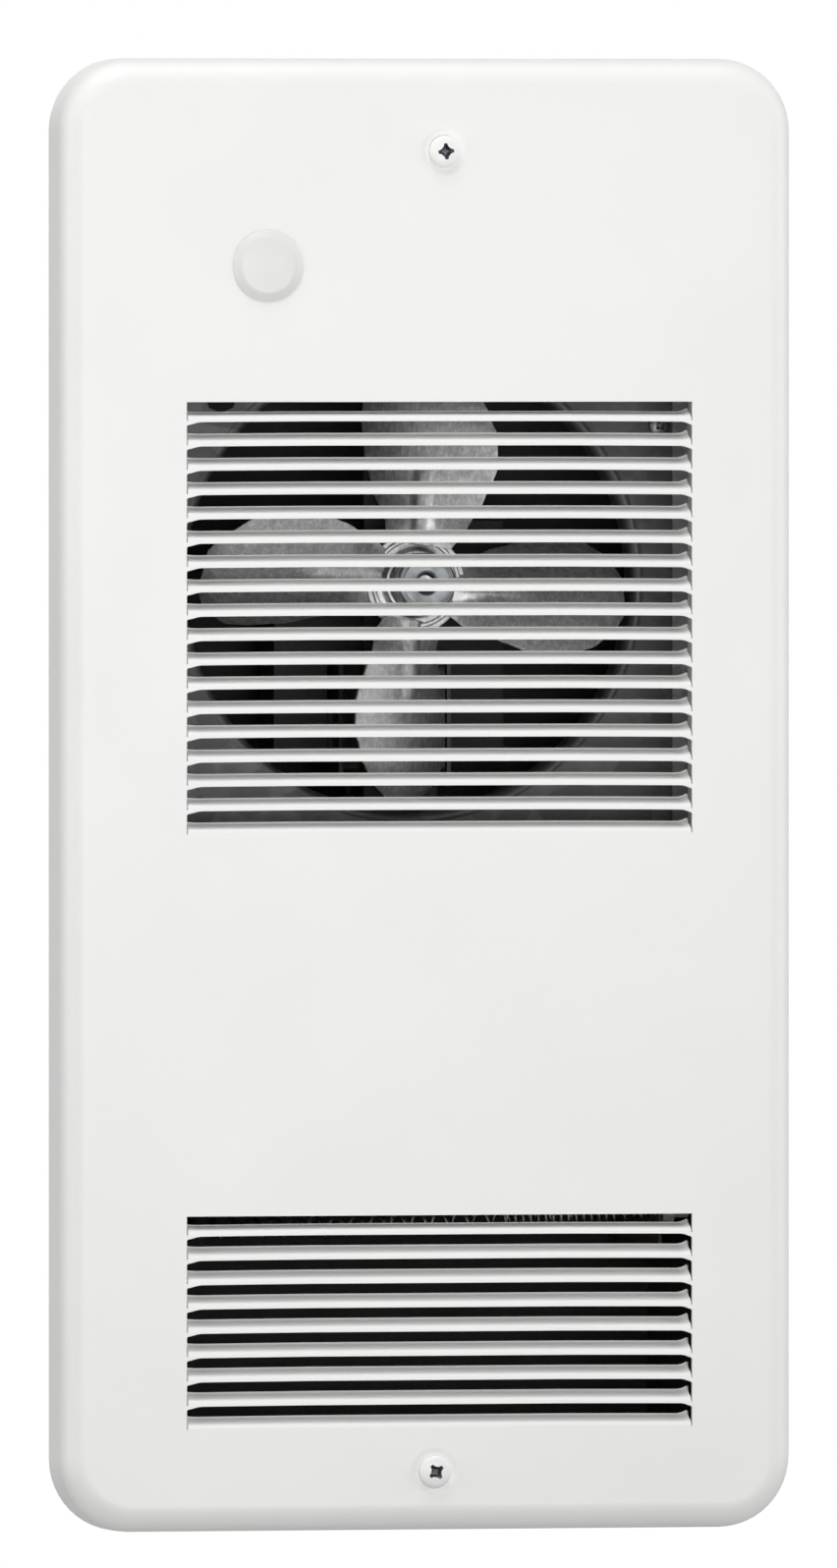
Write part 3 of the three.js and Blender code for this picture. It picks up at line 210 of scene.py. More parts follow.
def turnPiece(name, profile, x, z, segments):
    # a profile of (radius, y) points turned about the line through (x, z) along Y
    piece = drawLine(name, [(x + radius, y, z) for radius, y in profile])
    bpy.ops.mesh.select_all(action="SELECT")
    bpy.ops.mesh.spin(steps=segments, angle=2 * math.pi, center=at(x, 0, z), axis=(0, 1, 0))
    cleanUp(piece, 0.002)
    return piece


def platePiece(name, outline, y0, y1):
    # an outline of (x, z) points filled and drawn out along Y
    piece = drawLine(name, [(x, y0, z) for x, z in outline])
    bpy.ops.mesh.select_all(action="SELECT")
    bpy.ops.mesh.edge_face_add()
    extrudeFaces(dy=y1 - y0)
    cleanUp(piece, 0.001)
    return piece


def finishPiece(piece, material, body, nodes=()):
    if material is not None:
        piece.data.materials.clear()
        piece.data.materials.append(material)
    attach(piece, body)
    if nodes:
        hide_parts(*nodes)


# materials
def linearColour(hexColour):
    # sRGB hex to the linear values that the shader takes
    parts = [int(hexColour[i:i + 2], 16) / 255 for i in (1, 3, 5)]
    straight = [p / 12.92 if p <= 0.04045 else ((p + 0.055) / 1.055) ** 2.4 for p in parts]
    return (*straight, 1.0)


def addNode(tree, kind, inputs=None, stops=(), **settings):
    # one node, its settings, and its sockets: each gets a value or another node's output
    # a colour ramp also gets its stops, each a position and a hex colour
    node = tree.nodes.new(kind)
    for key, value in settings.items():
        setattr(node, key, value)
    for key, value in (inputs or {}).items():
        if isinstance(value, bpy.types.NodeSocket):
            tree.links.new(value, node.inputs[key])
        else:
            node.inputs[key].default_value = value
    for index, (position, hexColour) in enumerate(stops):
        node.color_ramp.elements[index].position = position
        node.color_ramp.elements[index].color = linearColour(hexColour)
    return node


def newMaterial(name, noises, **shaderInputs):
    # a plain shader and its noises, each from a size in millimetres, a detail and a roughness
    material = bpy.data.materials.new(name)
    material.use_nodes = True
    tree = material.node_tree
    tree.nodes.clear()
    shader = addNode(tree, "ShaderNodeBsdfPrincipled", shaderInputs)
    addNode(tree, "ShaderNodeOutputMaterial", {"Surface": shader.outputs["BSDF"]})
    place = addNode(tree, "ShaderNodeTexCoord").outputs["Object"]
    patterns = [
        addNode(tree, "ShaderNodeTexNoise", {
            "Vector": place, "Scale": perMetre(size), "Detail": detail, "Roughness": rough}).outputs["Fac"]
        for size, detail, rough in noises
    ]
    return material, tree, shader, *patterns


def perMetre(size):
    # the scale of a pattern whose features are `size` millimetres apart
    return 1 / (size * mm)


def dressShader(tree, shader, tone, stops, relief, depth, strength, gloss=None, glossRange=()):
    # colour and relief from patterns, and roughness too where it varies; depth is in millimetres
    colour = addNode(tree, "ShaderNodeValToRGB", {"Fac": tone}, stops)
    tree.links.new(colour.outputs["Color"], shader.inputs["Base Color"])
    bump = addNode(tree, "ShaderNodeBump", {"Height": relief, "Distance": depth * mm, "Strength": strength})
    tree.links.new(bump.outputs["Normal"], shader.inputs["Normal"])
    if glossRange:
        low, high = glossRange
        rough = addNode(tree, "ShaderNodeMapRange", {"Value": gloss, "To Min": low, "To Max": high})
        tree.links.new(rough.outputs["Result"], shader.inputs["Roughness"])


def powderCoat(name, colour, shadow):
    # polyester powder coat on steel: satin white with a faint orange peel and hardly any tint
    # the peel is drawn a little coarser than the real one, to show
    material, tree, shader, cloud, peel = newMaterial(name, ((60, 2, 0.5), (1.6, 2, 0.5)), Roughness=0.42)
    dressShader(tree, shader, cloud, ((0.3, colour), (0.7, shadow)), peel, 0.02, 0.35, peel, (0.36, 0.5))
    return material


def mouldedPlastic(name, colour, shadow, roughness, grain=0.5, depth=0.015):
    # injection moulded plastic: even colour, a fine eroded grain and a soft gloss
    material, tree, shader, cloud, skin = newMaterial(
        name, ((14, 2, 0.5), (grain, 2, 0.5)), Roughness=roughness)
    dressShader(
        tree, shader, cloud, ((0.3, colour), (0.7, shadow)), skin, depth, 0.4,
        skin, (roughness - 0.06, roughness + 0.08))
    return material


def galvanisedSheet(name, light, dark, spangle=9):
    # hot-dip galvanised sheet: zinc crystals 9 or 12 mm across, each with its own grey and gloss
    material, tree, shader, wander, grit = newMaterial(
        name, ((5, 2, 0.5), (0.8, 3, 0.5)), Metallic=0.45, Roughness=0.45)
    place = addNode(tree, "ShaderNodeTexCoord").outputs["Object"]
    crystals = addNode(tree, "ShaderNodeTexVoronoi", {"Vector": place, "Scale": perMetre(spangle)})
    tones = addNode(tree, "ShaderNodeSeparateColor", {"Color": crystals.outputs["Color"]})
    mixed = addNode(tree, "ShaderNodeMath", {0: tones.outputs["Red"], 1: wander}, operation="MULTIPLY")
    dressShader(
        tree, shader, mixed.outputs["Value"], ((0.05, dark), (0.6, light)), grit, 0.02, 0.25,
        mixed.outputs["Value"], (0.5, 0.36))
    return material


def platedSteel(name, light, dark, roughness=0.3):
    # zinc electroplate: bright, slightly cloudy, with fine handling marks
    material, tree, shader, cloud, marks = newMaterial(
        name, ((4, 4, 0.5), (0.4, 2, 0.5)), Metallic=1.0, Roughness=roughness)
    dressShader(
        tree, shader, cloud, ((0.3, dark), (0.7, light)), marks, 0.008, 0.3,
        cloud, (roughness + 0.12, roughness - 0.05))
    return material


def brushedMetal(name, light, dark, roughness, stretch, grain, metallic=1.0):
    # rolled or ground metal: long fine lines along one direction
    material, tree, shader, dust = newMaterial(
        name, [(2.2, 3, 0.6)], Metallic=metallic, Roughness=roughness)
    place = addNode(tree, "ShaderNodeTexCoord").outputs["Object"]
    drawn = addNode(tree, "ShaderNodeMapping", {"Vector": place, "Scale": stretch}).outputs["Vector"]
    lines = addNode(tree, "ShaderNodeTexNoise", {
        "Vector": drawn, "Scale": perMetre(grain), "Detail": 4, "Roughness": 0.6}).outputs["Fac"]
    both = addNode(tree, "ShaderNodeMath", {0: lines, 1: dust}, operation="MULTIPLY").outputs["Value"]
    dressShader(
        tree, shader, both, ((0.12, dark), (0.4, light)), both, 0.03, 0.5,
        lines, (roughness - 0.1, roughness + 0.14))
    return material


def bandedSolid(name, light, dark, roughness, metallic, axis, spacing, depth=0.05):
    # thin layers or turns side by side, drawn as bands along one axis
    material, tree, shader, cloud = newMaterial(name, [(6, 3, 0.5)], Metallic=metallic, Roughness=roughness)
    place = addNode(tree, "ShaderNodeTexCoord").outputs["Object"]
    # at this scale the bands lie about six times as far apart as the real ones, to show
    bands = addNode(
        tree, "ShaderNodeTexWave",
        {"Vector": place, "Scale": perMetre(spacing) / 20, "Distortion": 0.4, "Detail": 1.0},
        wave_type="BANDS", bands_direction=axis).outputs["Fac"]
    mixed = addNode(tree, "ShaderNodeMath", {0: bands, 1: cloud}, operation="MULTIPLY").outputs["Value"]
    dressShader(tree, shader, mixed, ((0.05, dark), (0.5, light)), bands, depth, 0.7)
    return material


def speckled(name, light, dark, roughness, grain, metallic=0.0, depth=0.03, glaze=0.0):
    # pressed, sintered or fired stock with a visible fleck, under a glaze or bare
    material, tree, shader, fleck = newMaterial(
        name, [(grain, 5, 0.7)], Metallic=metallic, Roughness=roughness)
    shader.inputs["Coat Weight"].default_value = glaze
    dressShader(tree, shader, fleck, ((0.38, dark), (0.62, light)), fleck, depth, 0.4)
    return material


coatWhite = powderCoat("powderCoatWhite", "#f1f1ef", "#eeeeed")
nylonWhite = mouldedPlastic("mouldedNylonWhite", "#e2e2e0", "#dddddb", 0.34, 0.9)
galvanised = galvanisedSheet("galvanisedSheet", "#b9babb", "#939596")
# painted shade: the same galvanised sheet made darker, for the fan deck in the shade behind the cover
shadedDeckZinc = galvanisedSheet("galvanisedSheetPaintedShade", "#5d5e5e", "#4e4f4f", 12)
# painted shade: galvanised sheet made near black for the element frame in the dark behind the lower grille
shadedFrameZinc = galvanisedSheet("frameSheetPaintedShade", "#3b3a38", "#2a2928")
zincPlate = platedSteel("zincPlatedSteel", "#c4c7c9", "#a6a9ac")
hubZinc = platedSteel("dullZincDieCasting", "#8f9193", "#6f7274", 0.36)
# painted shade: a darker copy of the zinc plate, for the screws deep inside the unit
shadedScrewZinc = platedSteel("zincScrewPaintedShade", "#999b9d", "#75787a", 0.4)
# bare steel of the shank and of the recess where the driver chipped the paint, darkened further as painted
# shade in the recess
screwSteelAndShade = platedSteel("bareScrewSteelAndShade", "#6c6e70", "#4b4d4f", 0.5)
greenZinc = platedSteel("greenPassivatedZinc", "#4f9a5a", "#2c6f3a", 0.36)
fanAluminium = brushedMetal("stampedAluminium", "#dcdddd", "#a9aaab", 0.4, (1, 1, 0.25), 0.7, 0.75)
# painted shade: a flat black standing in for the dark inside of the unit, which is really bare galvanised
paintedShadeBlack = mouldedPlastic("paintedShadeInsideBlack", "#262626", "#1e1e1e", 0.8, 1.2, 0.02)
# painted shade: black for the motor strap and cores, standing in for the dark behind the fan, not their own
# finish
motorShadeBlack = mouldedPlastic("motorPaintedShadeBlack", "#232323", "#1a1a1a", 0.7, 0.9, 0.02)
shaftSteel = brushedMetal("groundShaftSteel", "#b3b5b8", "#8d9093", 0.28, (1, 0.1, 1), 0.3)
laminations = bandedSolid("bluedLaminations", "#5a5d62", "#2c2e31", 0.55, 0.7, "Y", 0.9)
# varnished copper turns, darkened to near black as painted shade for the winding behind the fan
shadedCopperTurns = bandedSolid("copperTurnsPaintedShade", "#2e1e17", "#140d0a", 0.4, 0.2, "X", 0.9, 0.15)
bronze = speckled("sinteredBronze", "#a77c47", "#7a5730", 0.5, 0.5, 0.9)
nichrome = brushedMetal("oxidisedNichrome", "#aaa59d", "#7f7a73", 0.4, (1, 1, 1), 0.6)
# painted shade: mica is pale; it is made dark brown here for the boards in the dark behind the lower grille
shadedMicaBoard = speckled("micaPaintedShade", "#5a5142", "#3d362b", 0.5, 1.8)
porcelain = speckled("glazedPorcelain", "#e3dfd5", "#d8d3c8", 0.3, 3, 0.0, 0.01, 0.6)
phenolic = mouldedPlastic("mouldedPhenolic", "#2f2823", "#241e1a", 0.42)
nylonBlack = mouldedPlastic("mouldedNylonBlack", "#252627", "#1c1c1d", 0.45)
buttonRed = mouldedPlastic("redButtonPlastic", "#b4201c", "#9c1a17", 0.35)
rubberBlack = mouldedPlastic("blackRubber", "#1d1d1e", "#151516", 0.75, 0.4, 0.03)
leadBlack = mouldedPlastic("blackLeadSleeve", "#1f1f21", "#19191b", 0.55, 0.6)
leadRed = mouldedPlastic("redLeadSleeve", "#a32824", "#8c201d", 0.55, 0.6)
leadWhite = mouldedPlastic("whiteLeadSleeve", "#dcdcd8", "#cfcfcb", 0.55, 0.6)
print("materials made")


# front cover
cover = {
    "cornerRadius": 25, "edgeRadius": 9, "rim": 10, "sheet": 1.2,
    "cornerSteps": 12, "edgeSteps": 8, "edgeRound": 0.22,
}
grille = {
    "centreX": 3.6, "width": 179.8, "pitch": 8.38, "face": 0.5, "endLift": 0.45, "lift": 0.95, "bow": 0.4,
    "leftEase": 5.2, "rightEase": 3.8, "relief": 0.35, "endTrim": 0.75, "bendRadius": 2.1, "bendAngle": 66,
    "depth": 5.8, "tipLength": 0.5, "tipAngle": 30, "leftRise": 0.3, "rightRise": 1.2, "endDraw": 1.0,
    "firstDrop": 0.9, "stations": (0.35, 1.4, 2.6, 3.9, 5.2, 20, 45), "linesAbove": (0.4, 1.2),
    "bendSteps": 7, "slopeShares": (0.5, 0.92), "tipBend": (0.08, 0.1),
}
intake = {"top": 389.5, "slots": 18, "gap": 4.0}
outlet = {"top": 108.8, "slots": 9, "gap": 3.6}
frontY = coverLow.y / mm


def smoothStep(t):
    t = min(max(t, 0.0), 1.0)
    return t * t * (3 - 2 * t)


grilleLeft = grille["centreX"] - grille["width"] / 2
grilleRight = grille["centreX"] + grille["width"] / 2


def endEase(x):
    # 0 at either end of a louvre, 1 once the easing is over
    fromLeft = smoothStep((x - grilleLeft) / grille["leftEase"])
    return fromLeft * smoothStep((grilleRight - x) / grille["rightEase"])


def bowAt(x):
    # how far the louvres arch upwards between their ends
    across = (x - grille["centreX"]) / (grille["width"] / 2)
    return grille["bow"] * (1 - across * across)


def makeCoverShell():
    width = (coverLow.x / mm, coverHigh.x / mm)
    depth = (frontY, coverHigh.y / mm)
    shell = startBox("frontCover", width, depth, (0, (coverHigh.z - coverLow.z) / mm))
    editPiece(shell, "EDGE")
    pick(shell, "EDGE", lambda edge, place: abs(edge.verts[0].co.y - edge.verts[1].co.y) > 5 * mm)
    bpy.ops.mesh.bevel(offset=cover["cornerRadius"] * mm, segments=cover["cornerSteps"], profile=0.5)
    pick(shell, "FACE", lambda face, place: place.y > depth[1] - 0.1)
    bpy.ops.mesh.inset(thickness=cover["rim"] * mm)
    bpy.ops.mesh.delete(type="FACE")
    pick(shell, "EDGE", lambda edge, place: (
        abs(edge.verts[0].co.y - edge.verts[1].co.y) < 1e-6 and place.y < frontY + 0.1))
    bpy.ops.mesh.bevel(
        offset=cover["edgeRadius"] * mm, segments=cover["edgeSteps"], profile=0.5, clamp_overlap=False)
    return shell


def splitFace(shell, test, along, value):
    # cuts the chosen front faces along a line at one x or one z
    pick(shell, "FACE", lambda face, place: (
        abs(face.normal.y) > 0.999 and place.y < frontY + 0.1 and test(place)))
    where = at(value, frontY, 0) if along == "x" else at(0, frontY, value)
    bpy.ops.mesh.bisect(plane_co=where, plane_no=(1, 0, 0) if along == "x" else (0, 0, 1))


def grilleLines(style):
    # the heights of each slot's upper edge, and of each louvre's bend
    slits = [style["top"] - row * grille["pitch"] for row in range(style["slots"])]
    rise = grille["endLift"] + grille["lift"] + grille["face"]
    return slits, [slit - grille["pitch"] + rise for slit in slits]


def flangeProfile(style):
    # (y, z) steps from the bend's start: a round bend, a shallow slope and a more upright tip
    steps = grille["bendSteps"]
    arc = [math.radians(grille["bendAngle"]) * step / steps for step in range(steps + 1)]
    points = [(grille["bendRadius"] * (1 - math.cos(a)), grille["bendRadius"] * math.sin(a)) for a in arc]
    tip = math.radians(grille["tipAngle"])
    rise = grille["pitch"] - style["gap"] - grille["face"]
    tipY, tipZ = grille["tipLength"] * math.sin(tip), grille["tipLength"] * math.cos(tip)
    endY, endZ = grille["depth"] - tipY, rise - tipZ
    lastY, lastZ = points[-1]
    for share in grille["slopeShares"]:
        points.append((lastY + (endY - lastY) * share, lastZ + (endZ - lastZ) * share))
    bendY, bendZ = grille["tipBend"]
    points += [(endY + bendY, endZ + bendZ), (grille["depth"], rise)]
    return points


def makeGrille(shell, style):
    slits, bends = grilleLines(style)
    inGrille = lambda place: grilleLeft < place.x < grilleRight
    lines = [slits[0], *bends]
    for slit in slits[1:]:
        lines += [slit, *(slit + above for above in grille["linesAbove"])]
    for height in lines:
        splitFace(shell, inGrille, "z", height)
    inRows = lambda place: inGrille(place) and bends[-1] < place.z < slits[0]
    for station in grille["stations"]:
        splitFace(shell, inRows, "x", grilleLeft + station)
        splitFace(shell, inRows, "x", grilleRight - station)

    def inSlot(face, place):
        if not (inRows(place) and abs(face.normal.y) > 0.999 and place.y < frontY + 0.1):
            return False
        return any(bend < place.z < slit for slit, bend in zip(slits, bends))
    pick(shell, "FACE", inSlot)
    bpy.ops.mesh.delete(type="ONLY_FACE")

    # the flanges: each louvre's bend line is drawn in and up
    reach = (grilleLeft + grille["relief"] - 0.01, grilleRight - grille["relief"] + 0.01)
    pick(shell, "EDGE", lambda edge, place: (
        place.y < frontY + 0.01 and all(reach[0] <= corner.co.x / mm <= reach[1] for corner in edge.verts)
        and any(abs(corner.co.z / mm - bottomZ - bend) < 0.02 for corner in edge.verts for bend in bends)
        and abs(edge.verts[0].co.z - edge.verts[1].co.z) < 1e-6))
    profile = flangeProfile(style)
    for (y0, z0), (y1, z1) in zip(profile, profile[1:]):
        extrudeEdges(dy=y1 - y0, dz=z1 - z0)

    # the sheet eases up off each slit line, arches a little, and its flanges open at their ends
    bendRise = bends[0] - slits[1]
    shape = bmesh.from_edit_mesh(shell.data)
    for corner in shape.verts:
        x, y, z = corner.co.x / mm, corner.co.y / mm - frontY, corner.co.z / mm - bottomZ
        inWidth = grilleLeft + 0.01 < x < grilleRight - 0.01
        if not (inWidth and bends[-1] - 0.02 < z < slits[0] + 1 and y < grille["depth"] + 1):
            continue
        if y > 0.02:
            straight = (1 - endEase(x)) * y / grille["depth"]
            rise = grille["leftRise"] if x < grille["centreX"] else grille["rightRise"]
            # the top louvre's flange lies flatter than the others
            first = grille["firstDrop"] * (y / grille["depth"]) ** 2 if z > bends[0] - 0.02 else 0
            corner.co.z += (rise * straight + bowAt(x) - first) * mm
            corner.co.y -= grille["endDraw"] * straight * mm
            if min(x - grilleLeft, grilleRight - x) < 1:
                inwards = 1 if x < grille["centreX"] else -1
                corner.co.x += inwards * grille["endTrim"] * y / grille["depth"] * mm
        elif z < slits[0] - 0.02:
            above = min(z - slit for slit in [*slits, slits[-1] - grille["pitch"]] if z - slit > -0.02)
            share = max(0, 1 - above / bendRise)
            corner.co.z += ((grille["endLift"] + grille["lift"] * endEase(x)) * share + bowAt(x)) * mm
            corner.co.y += (0.1 if above < 0.1 else -0.12 * share) * endEase(x) * mm
    bmesh.update_edit_mesh(shell.data)


plug = {
    "x": -57.5, "z": 436.5, "radius": 12.5, "hole": 10.4,
    "slit": (30, 5.4, 2), "slitTurns": (0, 60, 120), "slitMiddle": 5.9,
}
coverScrew = {
    "places": {"top": (5.2, 475.9, 5), "bottom": (1.7, 20.2, 38)},   # x, z and the turn of the recess
    "radius": 5.5, "hole": 2.4,
}
thread = 0.8   # from turn to turn, on the cover screws and the small ones
dimple = {"radius": 8.6, "flat": 5.9, "depth": 0.35}


def makeDimpleCutter(x, z):
    # a shallow dish with soft shoulders, pressed in round each cover screw
    steps = 8
    rise = dimple["radius"] - dimple["flat"]
    shoulder = [(dimple["flat"] + rise * i / steps, frontY + dimple["depth"] * (1 - smoothStep(i / steps)))
                for i in range(steps + 1)]
    profile = [(0, frontY + dimple["depth"]), *shoulder]
    profile += [(dimple["radius"] + 0.02, frontY - 2), (0, frontY - 2)]
    return turnPiece("dimpleCutter", profile, x, z, 48)


def makeRoundCutter(x, y, z, radius, length, sides, rotation=(0, 0, 0)):
    cutter = startPiece(
        "roundCutter", bpy.ops.mesh.primitive_cylinder_add, vertices=sides, radius=radius * mm,
        depth=length * mm, location=at(x, y, z), rotation=rotation,
    )
    applyPlace(cutter)
    return cutter


def makeHoleCutter(x, z, radius, y0, y1, sides=48):
    return makeRoundCutter(x, (y0 + y1) / 2, z, radius, y1 - y0, sides, (math.pi / 2, 0, 0))


def makeFrontCover():
    shell = makeCoverShell()
    for end in (grilleLeft, grilleRight):
        splitFace(shell, lambda place: True, "x", end)
    makeGrille(shell, intake)
    makeGrille(shell, outlet)
    bpy.ops.object.mode_set(mode="OBJECT")
    addModifier(shell, "SOLIDIFY", thickness=cover["sheet"] * mm, offset=-1, use_even_offset=True)
    through = (frontY - 3, frontY + 4)
    cutAway(shell, makeHoleCutter(plug["x"], plug["z"], plug["hole"], *through))
    for x, z, turn in coverScrew["places"].values():
        cutAway(shell, makeDimpleCutter(x, z), makeHoleCutter(x, z, coverScrew["hole"], *through))
    bevelEdges(shell, cover["edgeRound"], 2, 50)
    shade(shell, 40)
    finishPiece(shell, coatWhite, "heater", ["front_cover"])


makeFrontCover()
print("front cover made")


# plug in the control hole
def makePlug():
    seat = frontY - 0.3
    low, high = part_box("control_hole_plug")
    crown = low.y / mm
    rim = plug["radius"]
    face = [(0, crown + 0.1), (0.5, crown + 0.1), (0.8, crown), (5, crown + 0.02), (8.8, crown + 0.05)]
    shoulder = [(9.5, crown + 0.17), (10.2, crown + 0.42), (11.0, crown + 0.78), (11.7, crown + 1.08),
                (12.2, crown + 1.3), (rim - 0.05, seat - 0.15), (rim, seat)]
    skirt = [(10.25, seat), (10.1, seat + 1.4), (10.35, seat + 1.9), (9.7, high.y / mm), (8.6, high.y / mm)]
    inside = [(8.7, seat + 0.6), (0, seat + 0.6)]
    body = turnPiece("controlHolePlug", [*face, *shoulder, *skirt, *inside], plug["x"], plug["z"], 96)
    middle = at(plug["x"], seat + plug["slitMiddle"], plug["z"])
    for degrees in plug["slitTurns"]:
        slit = startPiece(
            "slitCutter", bpy.ops.mesh.primitive_cube_add, size=1, location=middle,
            rotation=(0, math.radians(degrees), 0),
        )
        slit.scale = [size * mm for size in plug["slit"]]
        applyPlace(slit)
        cutAway(body, slit)
    shade(body, 45)
    finishPiece(body, nylonWhite, "hole_plug", ["control_hole_plug"])


makePlug()
print("plug made")


# cover screws
recess = {"arm": 2.8, "halfWidth": 0.55, "core": 1.75, "coreSpread": 1.5, "depth": 1.7, "taper": 0.45}


def makeCrossCutter(x, z, crown, turn, size=1.0):
    # a tapered cross with a square core, as the driver leaves it
    arm, half, core = recess["arm"] * size, recess["halfWidth"] * size, recess["core"] * size
    wide = half * recess["coreSpread"]
    outline = []
    for quarter in range(4):
        angle = math.radians(turn + 90 * quarter)
        along, across = (math.cos(angle), math.sin(angle)), (-math.sin(angle), math.cos(angle))
        for reach, side in ((core, -wide), (arm, -half), (arm, half), (core, wide)):
            outline.append((
                x + along[0] * reach + across[0] * side, z + along[1] * reach + across[1] * side))
    cutter = platePiece("crossCutter", outline, crown - 0.6, crown + 0.15)
    editPiece(cutter)
    pick(cutter, "FACE", lambda face, place: abs(face.normal.y) > 0.99 and place.y > crown)
    extrudeFaces(recess["depth"] * size)
    taper = (recess["taper"], 1, recess["taper"])
    bpy.ops.transform.resize(value=taper, center_override=at(x, crown, z))
    bpy.ops.object.mode_set(mode="OBJECT")
    return cutter


def makeCoverScrew(word):
    x, z, turn = coverScrew["places"][word]
    low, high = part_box(f"cover_screw_{word}")
    crown, tipY = low.y / mm, high.y / mm
    under = frontY - 0.3 + dimple["depth"]
    r = coverScrew["radius"]
    head = [(0, crown), (1.6, crown + 0.03), (3.2, crown + 0.16), (4.4, crown + 0.42), (5.1, crown + 0.8),
            (r - 0.06, crown + 1.25), (r, crown + 1.6), (r, under - 0.1), (r - 0.12, under)]
    shank = [(2.35, under), (2.1, under + 0.4)]
    for index in range(int((tipY - under - 3) / thread)):
        y = under + 1.2 + index * thread
        shank += [(1.65, y), (2.08, y + thread * 0.45)]
    shank += [(1.6, tipY - 1.1), (0.7, tipY), (0, tipY)]
    body = turnPiece(f"coverScrew{word.capitalize()}", [*head, *shank], x, z, 56)
    cutAway(body, makeCrossCutter(x, z, crown, turn))
    shade(body, 40)
    body.data.materials.append(coatWhite)
    body.data.materials.append(screwSteelAndShade)
    # faces in the recess take the dark steel, bare metal with painted shade; the shank under the head is
    # bare steel
    for face in body.data.polygons:
        middle = face.center
        fromAxis = math.hypot(middle.x / mm - x, middle.z / mm - bottomZ - z)
        inRecess = fromAxis < 3.0 and middle.y / mm > crown + 0.3
        face.material_index = 1 if inRecess or middle.y / mm > under + 0.2 else 0
    finishPiece(body, None, "heater", [f"cover_screw_{word}"])


for word in coverScrew["places"]:
    makeCoverScrew(word)
print("cover screws made")


# fan: stamped blades, hub bush and shaft
fan = {
    "x": 4.2, "z": 326.8, "plane": 16, "turn": 7, "sheet": 1.2, "pitch": 40, "neckPitch": 18, "neckEnd": 20,
    "neckEase": 8, "camber": 4.2, "fullChord": 55, "roundStart": 60, "roundEase": 8, "boss": 10.3,
    "discRadius": 17.5, "discRaised": 11, "discHeight": 3, "discBore": 5.8,
    "ribHeight": 1.2, "ribHalfWidth": 2.6, "ribEnd": 44, "ribEase": 9,
    # radius, and the reach to the leading and the trailing edge there
    "stations": ((13, 11, 11), (20, 16, 13), (30, 22.5, 20), (42, 26.4, 25), (54, 25, 27.5), (63, 20, 28),
                 (71, 11, 23), (75, 3, 14)),
}


def stationAt(radius):
    # how far the blade reaches to its leading and its trailing edge at one radius
    rows = fan["stations"]
    for low, high in zip(rows, rows[1:]):
        if radius <= high[0]:
            break
    share = (radius - low[0]) / (high[0] - low[0])
    t = (smoothStep(share) + share) / 2
    return low[1] + (high[1] - low[1]) * t, low[2] + (high[2] - low[2]) * t


def bladePoint(across, along):
    # a place on the upright blade, as (x, y, z) from the fan's centre; across and along run 0 to 1
    innermost, outermost = fan["stations"][0][0], fan["stations"][-1][0]
    radius = innermost + (outermost - innermost) * along
    leading, trailing = stationAt(radius)
    neck = smoothStep((radius - innermost) / (fan["neckEnd"] + fan["neckEase"] - innermost))
    pitch = math.radians(fan["neckPitch"] + (fan["pitch"] - fan["neckPitch"]) * neck)
    lift = 4 * fan["camber"] * across * (1 - across) * (leading + trailing) / fan["fullChord"]
    chord = across * (leading + trailing) - trailing
    rib = fan["ribHeight"] * smoothStep(1.6 - abs(chord - 1) / fan["ribHalfWidth"])
    lift += rib * smoothStep((fan["ribEnd"] - radius) / fan["ribEase"])
    x = chord * math.cos(pitch) - lift * math.sin(pitch)
    y = -chord * math.sin(pitch) - lift * math.cos(pitch)
    roundOff = 0.5 * smoothStep((radius - fan["roundStart"]) / fan["roundEase"] + 1)
    return x, y, math.sqrt(radius * radius - roundOff * x * x)


def makeBlade(index):
    columns, rows = 28, 36
    blade = startPiece(
        "blade", bpy.ops.mesh.primitive_grid_add, x_subdivisions=columns, y_subdivisions=rows, size=1)
    editPiece(blade)
    shape = bmesh.from_edit_mesh(blade.data)
    centre = at(fan["x"], fan["plane"], fan["z"])
    for corner in shape.verts:
        x, y, z = bladePoint(corner.co.x + 0.5, corner.co.y + 0.5)
        corner.co = centre + Vector((x, y, z)) * mm
    bmesh.update_edit_mesh(blade.data)
    bpy.ops.mesh.select_all(action="SELECT")
    turn = math.radians(fan["turn"] + 90 * index)
    bpy.ops.transform.rotate(value=-turn, orient_axis="Y", center_override=centre)
    bpy.ops.object.mode_set(mode="OBJECT")
    addModifier(blade, "SOLIDIFY", thickness=fan["sheet"] * mm, offset=0)
    bevelEdges(blade, 0.25, 2, 50)
    return blade


